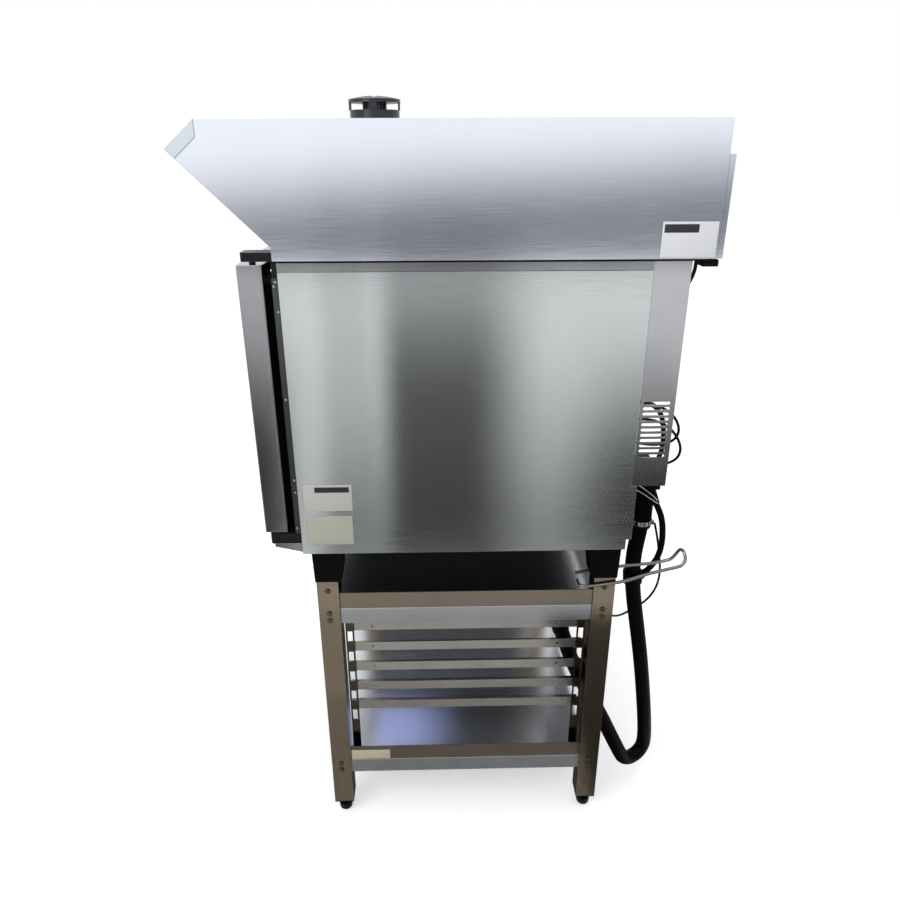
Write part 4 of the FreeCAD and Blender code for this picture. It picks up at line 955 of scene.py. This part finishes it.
@dataclass
class ScrewRow:
    """Cross-head screws in one sheet, as one piece."""

    name: str
    centres: Sequence[Point]
    outward: Vector
    radius: float = 5.5 * MM
    proud: float = 4.0 * MM
    crown: float = 1.4 * MM
    slot: float = 1.6 * MM
    slot_reach: float = 1.2

    def build(self, palette: Palette) -> None:
        """Models one head, copies it to its places and joins the copies.

        Args:
            palette: Where the material comes from.
        """
        face = Vector(self.centres[0])
        moves = [Matrix.Translation(Vector(place) - face) for place in self.centres[1:]]
        piece = join(copies_of(self.head(face), moves), self.name)
        palette.dress(piece, BRIGHT_STEEL)
        finish_piece(piece, Body.OVEN)

    def head(self, face: Vector) -> Piece:
        """One pan head with its crossed slot.

        Args:
            face: The middle of the face it sits on.

        Returns:
            The head.
        """
        deselect()
        turn = Vector((0.0, 0.0, 1.0)).rotation_difference(self.outward)
        bpy.ops.mesh.primitive_cylinder_add(
            vertices=24, radius=self.radius, depth=self.proud,
            location=face + self.outward * (self.proud / 2), rotation=turn.to_euler())
        piece = take_new(self.name)
        level = face.dot(self.outward) + self.proud
        edit(piece)
        pick(piece, lambda point: point.dot(self.outward) > level - NEARLY)
        bpy.ops.mesh.bevel(offset=self.crown, segments=3, affect="EDGES")
        leave_edit()
        across = Vector((1.0, 0.0, 0.0)) if abs(self.outward.x) < 0.5 else Vector((0.0, 1.0, 0.0))
        for along in (across, self.outward.cross(across)):
            self.cut_slot(piece, face, along)
        return piece

    def cut_slot(self, piece: Piece, face: Vector, along: Vector) -> None:
        """Cuts one slot across a head.

        Args:
            piece: The head.
            face: The middle of the face it sits on.
            along: The slot's direction.
        """
        deselect()
        side = self.outward.cross(along)
        reach = along * self.radius * self.slot_reach + side * self.slot + self.outward * 2 * self.slot
        bpy.ops.mesh.primitive_cube_add(size=1.0, location=face + self.outward * self.proud)
        cut(piece, take_new("slot_tool", [abs(part) for part in reach]))


@dataclass
class FanGuard:
    """Wire guard over the baffle's air inlet."""

    radius: float = 118 * MM
    rings: int = 4
    wire: float = 1.8 * MM
    stand_off: float = 0.6
    spokes: int = 6
    overhang: float = 14 * MM
    round_off: float = 0.4 * MM

    def build(self, palette: Palette) -> None:
        """Bends the rings, adds the spokes and joins them.

        Args:
            palette: Where the material comes from.
        """
        low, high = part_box("air_baffle")
        middle = (Vector(low) + Vector(high)) / 2
        centre = Vector((high[0] + self.wire * self.stand_off, middle.y, middle.z))
        wires = []
        for ring in range(1, self.rings + 1):
            deselect()
            bpy.ops.mesh.primitive_torus_add(
                major_radius=self.radius * ring / self.rings, minor_radius=self.wire, major_segments=64,
                minor_segments=8, location=centre, rotation=(0.0, math.pi / 2, 0.0))
            wires.append(take_new(f"guard_ring_{ring}"))
        piece = join(wires + self.star(centre), "fan_guard")
        palette.dress(piece, BRIGHT_STEEL)
        finish_piece(piece, Body.OVEN)

    def star(self, centre: Vector) -> list[Piece]:
        """Spokes from the inner ring to beyond the outer one.

        Args:
            centre: The middle of the rings.

        Returns:
            The spokes.
        """
        inner = self.radius / self.rings
        length = self.radius - inner + self.overhang
        stances = []
        for spoke in range(self.spokes):
            angle = 2 * math.pi * spoke / self.spokes
            out = Vector((0.0, math.cos(angle), math.sin(angle)))
            middle = centre + out * (inner + length / 2) + Vector((self.wire, 0.0, 0.0))
            stances.append(Matrix.Translation(middle) @ out.to_track_quat("Z", "Y").to_matrix().to_4x4())
        start = stances[0]
        deselect()
        bpy.ops.mesh.primitive_cylinder_add(vertices=10, radius=self.wire, depth=length,
                                            location=start.to_translation(), rotation=start.to_euler())
        first = take_new("guard_spoke")
        soften(first, self.round_off)
        return copies_of(first, [stance @ start.inverted() for stance in stances[1:]])


@dataclass
class FilterSlats:
    """Slats with rounded edges that fill the windows of the two grease filters."""

    slats: int = 11
    window: float = 150 * MM
    filled: float = 0.62
    wall: float = 1.2 * MM
    drop: float = 9 * MM
    half_post: float = 20 * MM
    border: float = 20 * MM
    end_gap: float = 12 * MM
    round_off: float = 0.3 * MM

    def build(self, palette: Palette) -> None:
        """Models one slat per filter, copies it down the slope and joins the copies.

        Args:
            palette: Where the material comes from.
        """
        low, high = (Vector(corner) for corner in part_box("grease_filters"))
        slope = Vector((0.0, high.y - low.y, low.z - high.z)).normalized()
        pitch = self.window / self.slats
        width = high.x - self.half_post - self.border
        middle = (low + high) / 2
        for side, name in ((-1, "filter_slats_left"), (1, "filter_slats_right")):
            middle.x = side * (self.half_post + width / 2)
            first = self.slat(name, middle - slope * ((self.window - pitch) / 2), slope, width)
            moves = [Matrix.Translation(slope * (pitch * step)) for step in range(1, self.slats)]
            piece = join(copies_of(first, moves), name)
            palette.dress(piece, BRIGHT_STEEL)
            finish_piece(piece, Body.OVEN)

    def slat(self, name: str, place: Vector, slope: Vector, width: float) -> Piece:
        """One slat with rounded edges.

        Args:
            name: The slat's name.
            place: The middle of its place on the filter's face.
            slope: Direction down the filter.
            width: Width of the window.

        Returns:
            The slat.
        """
        deselect()
        lean = math.atan2(slope.z, slope.y)
        under = Vector((0.0, math.sin(lean), -math.cos(lean)))
        place = place + under * self.drop
        bpy.ops.mesh.primitive_cube_add(size=1.0, location=place, rotation=(lean, 0.0, 0.0))
        slat = take_new(name, (width - 2 * self.end_gap, self.window / self.slats * self.filled, self.wall))
        soften(slat, self.round_off)
        return slat


@dataclass
class DialGrip:
    """Ribbed grip round the dial."""

    ribs: int = 36
    rib: float = 1.1 * MM
    length: float = 13 * MM
    set_back: float = 12 * MM
    round_off: float = 0.3 * MM

    def build(self, palette: Palette) -> None:
        """Models one rib, copies it round the dial and joins the copies.

        Args:
            palette: Where the material comes from.
        """
        low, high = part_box("control_dial")
        radius = (high[0] - low[0]) / 2
        centre = Vector(((low[0] + high[0]) / 2, low[1] + self.set_back, (low[2] + high[2]) / 2))
        angles = [2 * math.pi * index / self.ribs for index in range(self.ribs)]
        places = [centre + Vector((math.cos(angle), 0.0, math.sin(angle))) * radius for angle in angles]
        deselect()
        bpy.ops.mesh.primitive_cylinder_add(vertices=8, radius=self.rib, depth=self.length,
                                            location=places[0], rotation=(math.pi / 2, 0.0, 0.0))
        first = take_new("dial_rib")
        soften(first, self.round_off, segments=1)
        moves = [Matrix.Translation(place - places[0]) for place in places[1:]]
        piece = join(copies_of(first, moves), "dial_grip")
        palette.dress(piece, BLACK_MOULDING)
        finish_piece(piece, Body.DIAL)


PAPER = screen_colour(214, 216, 220)
# paper of the upper case label, given a darker tone than PAPER
DIMMER_PAPER = screen_colour(172, 173, 168)
BEIGE = screen_colour(162, 161, 150)
INK = screen_colour(30, 32, 38)
CASE_SIDE = 534.5 * MM
DOOR_SIDE = 530 * MM
RIM_SIDE = 497 * MM
HINGE_FACE = CASE_FRONT - 12 * MM


def label(name: str, face: float, depths: tuple[float, float], levels: tuple[float, float], paper: Colour,
          bar: tuple[float, float, float, float] = (0.0, 0.0, 0.0, 0.0)) -> LabelPlate:
    """Bare label with its places in millimetres.

    Args:
        name: The piece's name.
        face: X of the sheet it is on.
        depths: Where it starts and ends behind the case front.
        levels: Its lower and upper edge above the floor.
        paper: Its colour.
        bar: Dark bar, as the depths and levels of its edges.

    Returns:
        The label.
    """
    bar_low, bar_high = ((depth(bar[end]), bar[2 + end] * MM) for end in (0, 1))
    low, high = ((depth(depths[end]), levels[end] * MM) for end in (0, 1))
    finish = BlankLabel(name.replace("_", " "), paper, INK, bar_low, bar_high)
    return LabelPlate(name, face, low, high, finish)


LABELS = (
    label("case_label_upper", CASE_SIDE, (13, 127), (1023, 1091), DIMMER_PAPER, (40, 121, 1071, 1085)),
    label("case_label_lower", CASE_SIDE, (15, 125), (932, 1009), BEIGE),
    label("hood_label", CASE_SIDE, (797, 913), (1605, 1677), PAPER, (801, 873, 1655, 1672)),
    label("shelf_label", RIM_SIDE, (77, 186), (208, 240), screen_colour(172, 166, 144)),
)
SCREWS = (
    ScrewRow("frame_screws", [(DOOR_SIDE, depth(set_back), level * MM) for set_back, level in (
        (-6, 1559), (-9.5, 1550), (-5, 1496), (-7, 1300), (-5, 1102), (-5, 1070), (-9, 975))],
             Vector((1.0, 0.0, 0.0)), 2.8 * MM, 1.8 * MM, 0.7 * MM, 0.8 * MM),
    ScrewRow("hinge_screws", [(x * MM, HINGE_FACE, 1581 * MM) for x in (496, 518)],
             Vector((0.0, -1.0, 0.0))),
)


# Studio

@dataclass(frozen=True)
class Card:
    """Soft-edged card that shows only in metal and gloss, and may come forward over the floor."""

    name: str
    span: tuple[float, float]
    rise: tuple[float, float]
    soft_ends: tuple[float, float]
    soft_rise: tuple[float, float]
    tone: Colour
    cover: float
    stand: float = 2.3
    near: float | None = None
    soft_near: float = 0.06
    lean: float = 0.0
    turn: float = 0.0

    def build(self, shift: float) -> None:
        """Makes the card and leaves it seen only by glossy rays.

        Args:
            shift: How far it is set back and up, clear of the cards before it.
        """
        deselect()
        stand = self.stand + shift
        low, high = (level + shift for level in self.rise)
        size = (high - low, self.span[1] - self.span[0], 1.0)
        middle = (stand, sum(self.span) / 2, (low + high) / 2)
        bpy.ops.mesh.primitive_plane_add(size=1.0, location=middle, rotation=(0.0, math.pi / 2, 0.0))
        card = take_new(self.name, size)
        edit(card)
        bpy.ops.mesh.subdivide(number_cuts=3)
        if self.near is not None:
            pick(card, lambda point: point.z < low + MM)
            forward = (self.near - stand, 0.0, 0.0)
            bpy.ops.mesh.extrude_region_move(TRANSFORM_OT_translate={"value": forward})
        leave_edit()
        card.rotation_euler.z = math.radians(self.turn)
        card.data.materials.append(self.material())
        for ray in ("camera", "diffuse", "transmission", "volume_scatter", "shadow"):
            setattr(card, f"visible_{ray}", False)

    def material(self) -> bpy.types.Material:
        """Plain face that thins out towards the card's edges.

        Returns:
            The material.
        """
        sheet = Sheet(self.name)
        along, level = sheet.along(Axis.Y), sheet.along(Axis.Z)
        fades = [
            (along, self.span[0], self.soft_ends[0]),
            (along, self.span[1], -self.soft_ends[1]),
            (level, self.rise[0], self.soft_rise[0]),
            (sheet.leaning(self.lean), self.rise[1], -self.soft_rise[1]),
        ]
        if self.near is not None:
            soft = math.copysign(self.soft_near, self.stand - self.near)
            fades.append((sheet.along(Axis.X), self.near, soft))
        masks = [sheet.span(place, end, end + soft, smooth=True) for place, end, soft in fades if soft]
        mask = sheet.product(masks)
        face = sheet.add("ShaderNodeEmission")
        face.inputs["Color"].default_value = (*self.tone, 1.0)
        clear = sheet.add("ShaderNodeBsdfTransparent")
        blend = sheet.add("ShaderNodeMixShader")
        sheet.links.new(sheet.span(mask, 0.0, 1.0, 0.0, self.cover), blend.inputs[0])
        sheet.links.new(clear.outputs[0], blend.inputs[1])
        sheet.links.new(face.outputs[0], blend.inputs[2])
        sheet.links.new(blend.outputs[0], sheet.nodes["Material Output"].inputs["Surface"])
        return sheet.material


CARD_GREY = screen_colour(40, 40, 42)
CARD_BLUE = screen_colour(52, 55, 66)
CARD_BROWN = screen_colour(60, 48, 34)
CARD_SKY = screen_colour(182, 195, 247)
CARD_GAP = 2 * MM
FLOOR_GAP = 4 * MM
LYING = (FLOOR_GAP, 24 * MM)
SHARP = (0.0, 0.0)
SKIRT = 0.51
BESIDE = 1.78
FAR = 2.6
CARDS = (
    Card("card_room", (-0.85, 3.0), (FLOOR_GAP, 1.5), (0.3, 0.0), (0.0, 1.75),
         CARD_GREY, 0.84, near=BESIDE),
    Card("card_middle", (-0.37, 0.52), (FLOOR_GAP, 1.9), (0.16, 0.42), (0.0, 1.2),
         CARD_GREY, 0.88, near=BESIDE),
    Card("card_stripe", (-0.62, -0.3), (FLOOR_GAP, 2.0), (0.08, 0.12), (0.0, 0.9),
         CARD_GREY, 0.22, near=BESIDE),
    Card("card_rear", (0.48, 2.4), (FLOOR_GAP, 1.15), (0.45, 0.0), (0.0, 1.0),
         CARD_GREY, 0.9, near=BESIDE),
    Card("card_front", (-2.6, -0.6), (FLOOR_GAP, 1.44), (0.0, 0.3), (0.0, 1.0),
         CARD_GREY, 0.96, near=BESIDE),
    Card("card_level", (-2.2, 2.6), (1.33, 1.9), SHARP, (0.03, 0.42),
         CARD_BLUE, 0.8, lean=0.06),
    # dark cards over the floor near the stand, under it and in its bays: painted shade, shown only in metal
    # and gloss
    Card("card_floor_shade", (-1.6, 1.6), LYING, (0.4, 0.4), SHARP,
         CARD_GREY, 0.42, stand=1.75, near=SKIRT, soft_near=0.02),
    Card("card_shade", (-1.6, 1.6), LYING, (0.4, 0.4), SHARP,
         CARD_BROWN, 0.3, stand=1.45, near=SKIRT, soft_near=0.02),
    Card("card_low", (-1.5, 1.5), LYING, (0.4, 0.4), SHARP,
         CARD_BROWN, 0.24, stand=0.95, near=SKIRT, soft_near=0.02),
    Card("card_leg", (0.36, 1.4), LYING, (0.08, 0.4), SHARP,
         CARD_GREY, 0.85, stand=1.38, near=SKIRT, soft_near=0.02),
    Card("card_under", (-0.6, 0.6), LYING, (0.1, 0.1), SHARP,
         CARD_GREY, 0.95, stand=0.48, near=-0.5, soft_near=0.02),
    Card("card_bay", (-0.34, 0.4), (0.22, 0.66), (0.0, 0.12), SHARP,
         CARD_GREY, 0.92, stand=-0.54),
    Card("card_hatch", (-0.4, 0.34), (0.25, 0.8), (0.05, 0.3), SHARP,
         CARD_GREY, 0.9, stand=0.36, turn=90.0),
    # pale blue glowing card over the shelf: a painted reflection, shown only in metal and gloss
    Card("card_sky", (-0.3, 0.06), (0.68, 0.69), (0.0, 0.34), SHARP,
         CARD_SKY, 0.85, stand=-0.04, near=-0.3, soft_near=0.06),
    Card("rear_room", (-2.6, 2.6), (FLOOR_GAP, 2.4), (0.6, 0.6), (0.0, 2.2),
         CARD_GREY, 0.6, stand=FAR, near=0.9, soft_near=0.5, turn=90.0),
    Card("rear_band", (-0.3, 0.7), (FLOOR_GAP, 2.4), (0.3, 0.5), (0.0, 1.2),
         CARD_GREY, 0.5, stand=FAR, near=1.2, soft_near=0.5, turn=90.0),
    Card("left_room", (-2.6, 2.6), (FLOOR_GAP, 2.4), (0.6, 0.6), (0.0, 2.2),
         CARD_GREY, 0.6, stand=FAR, near=1.5, soft_near=0.5, turn=180.0),
    Card("left_band", (-0.5, 0.4), (FLOOR_GAP, 2.4), (0.2, 0.5), (0.0, 1.2),
         CARD_GREY, 0.6, stand=FAR, near=1.6, soft_near=0.5, turn=180.0),
    Card("front_room", (-2.6, 2.6), (FLOOR_GAP, 2.2), (0.6, 0.6), (0.0, 2.0),
         CARD_GREY, 0.5, stand=FAR, near=0.9, soft_near=0.5, turn=-90.0),
    Card("ceiling_band", (0.1, 1.4), (3.6, 3.62), (0.5, 0.6), SHARP,
         CARD_GREY, 0.35, stand=2.0, near=-2.0, soft_near=0.6),
    # dark card on the floor in front: painted shade, shown only in metal and gloss
    Card("front_floor_shade", (-1.6, 0.9), LYING, (0.4, 0.3), SHARP,
         CARD_GREY, 0.35, stand=1.7, near=0.5, soft_near=0.1, turn=-90.0),
)


@dataclass
class Studio:
    """Pale floor, soft light and the camera."""

    camera_place: Point = (2.064, depth(325.5), 1.813)
    lens: float = 28.796
    pitch: float = 22.60
    yaw: float = 1.24
    roll: float = -0.177
    floor_size: float = 40.0
    floor_tone: float = 0.82
    floor_glow: float = 0.42
    ambient: float = 0.8

    def build(self) -> None:
        """Sets up the whole studio."""
        bpy.context.scene.view_settings.view_transform = "Standard"
        self.build_world()
        self.build_floor()
        for step, card in enumerate(CARDS):
            card.build(step * CARD_GAP)
        self.build_lamps()
        self.build_camera()

    def seen_plainly(self, nodes: bpy.types.Nodes, links: bpy.types.NodeLinks) -> Socket:
        """One for rays that show the background: from the camera, off metal and through glass.

        Args:
            nodes: The tree's nodes.
            links: The tree's links.

        Returns:
            The value.
        """
        path = nodes.new("ShaderNodeLightPath")
        most = path.outputs["Is Camera Ray"]
        for name in ("Is Glossy Ray", "Is Transmission Ray"):
            node = nodes.new("ShaderNodeMath")
            node.operation = "MAXIMUM"
            links.new(most, node.inputs[0])
            links.new(path.outputs[name], node.inputs[1])
            most = node.outputs[0]
        return most

    def build_world(self) -> None:
        """White round the object, and a soft even light from it."""
        world = bpy.data.worlds.new("studio")
        bpy.context.scene.world = world
        world.use_nodes = True
        nodes = world.node_tree.nodes
        links = world.node_tree.links
        strength = nodes.new("ShaderNodeMapRange")
        strength.inputs["To Min"].default_value = self.ambient
        strength.inputs["To Max"].default_value = 1.0
        links.new(self.seen_plainly(nodes, links), strength.inputs["Value"])
        background = nodes["Background"]
        background.inputs["Color"].default_value = (1.0, 1.0, 1.0, 1.0)
        links.new(strength.outputs["Result"], background.inputs["Strength"])

    def build_floor(self) -> None:
        """Plain white floor that keeps the object's shadow."""
        deselect()
        bpy.ops.mesh.primitive_plane_add(size=self.floor_size, location=(0.0, 0.0, 0.0))
        floor = take_new("studio_floor")
        edit(floor)
        bpy.ops.mesh.subdivide(number_cuts=3)
        leave_edit()
        material = bpy.data.materials.new("studio floor")
        material.use_nodes = True
        nodes = material.node_tree.nodes
        links = material.node_tree.links
        shader = nodes["Principled BSDF"]
        shader.inputs["Base Color"].default_value = (*(self.floor_tone,) * 3, 1.0)
        shader.inputs["Roughness"].default_value = 1.0
        shader.inputs["Specular IOR Level"].default_value = 0.0
        shader.inputs["Emission Color"].default_value = (1.0, 1.0, 1.0, 1.0)
        glow = nodes.new("ShaderNodeMapRange")
        glow.inputs["To Max"].default_value = self.floor_glow
        links.new(self.seen_plainly(nodes, links), glow.inputs["Value"])
        links.new(glow.outputs["Result"], shader.inputs["Emission Strength"])
        floor.data.materials.append(material)

    def build_lamps(self) -> None:
        """Two large soft lamps, from the front right and from above."""
        for name, place, size, power, mirrored in (
            ("key_lamp", (2.6, -2.0, 3.2), 2.6, 55.0, True),
            ("top_lamp", (-0.3, 0.3, 4.2), 3.2, 45.0, False),
        ):
            lamp = bpy.data.lights.new(name, "AREA")
            lamp.shape = "DISK"
            lamp.size = size
            lamp.energy = power
            holder = bpy.data.objects.new(name, lamp)
            bpy.context.collection.objects.link(holder)
            aim = Vector((0.0, 0.0, 0.9)) - Vector(place)
            turned = aim.to_track_quat("-Z", "Y").to_matrix().to_4x4()
            holder.matrix_world = Matrix.Translation(place) @ turned
            holder.visible_glossy = mirrored

    def build_camera(self) -> None:
        """Camera where the photograph was taken from."""
        camera = bpy.data.cameras.new("camera")
        camera.lens = self.lens
        camera.sensor_fit = "HORIZONTAL"
        camera.sensor_width = 36.0
        camera.clip_end = 100.0
        holder = bpy.data.objects.new("camera", camera)
        bpy.context.collection.objects.link(holder)
        down = math.radians(self.pitch)
        aside = math.radians(self.yaw)
        level = math.cos(down)
        ahead = Vector((-level * math.cos(aside), level * math.sin(aside), -math.sin(down)))
        turned = ahead.to_track_quat("-Z", "Y") @ Quaternion((0.0, 0.0, 1.0), math.radians(self.roll))
        holder.matrix_world = Matrix.Translation(self.camera_place) @ turned.to_matrix().to_4x4()
        bpy.context.scene.camera = holder


def main() -> None:
    """Builds the scene, piece by piece."""
    logging.basicConfig(level=logging.INFO, format="%(name)s: %(message)s")
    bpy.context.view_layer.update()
    palette = Palette()
    palette.dress_nodes()
    Studio().build()
    for part in (*CORDS, *LABELS, *SCREWS, FanGuard(), FilterSlats(), DialGrip()):
        part.build(palette)


if __name__ == "__main__":
    main()
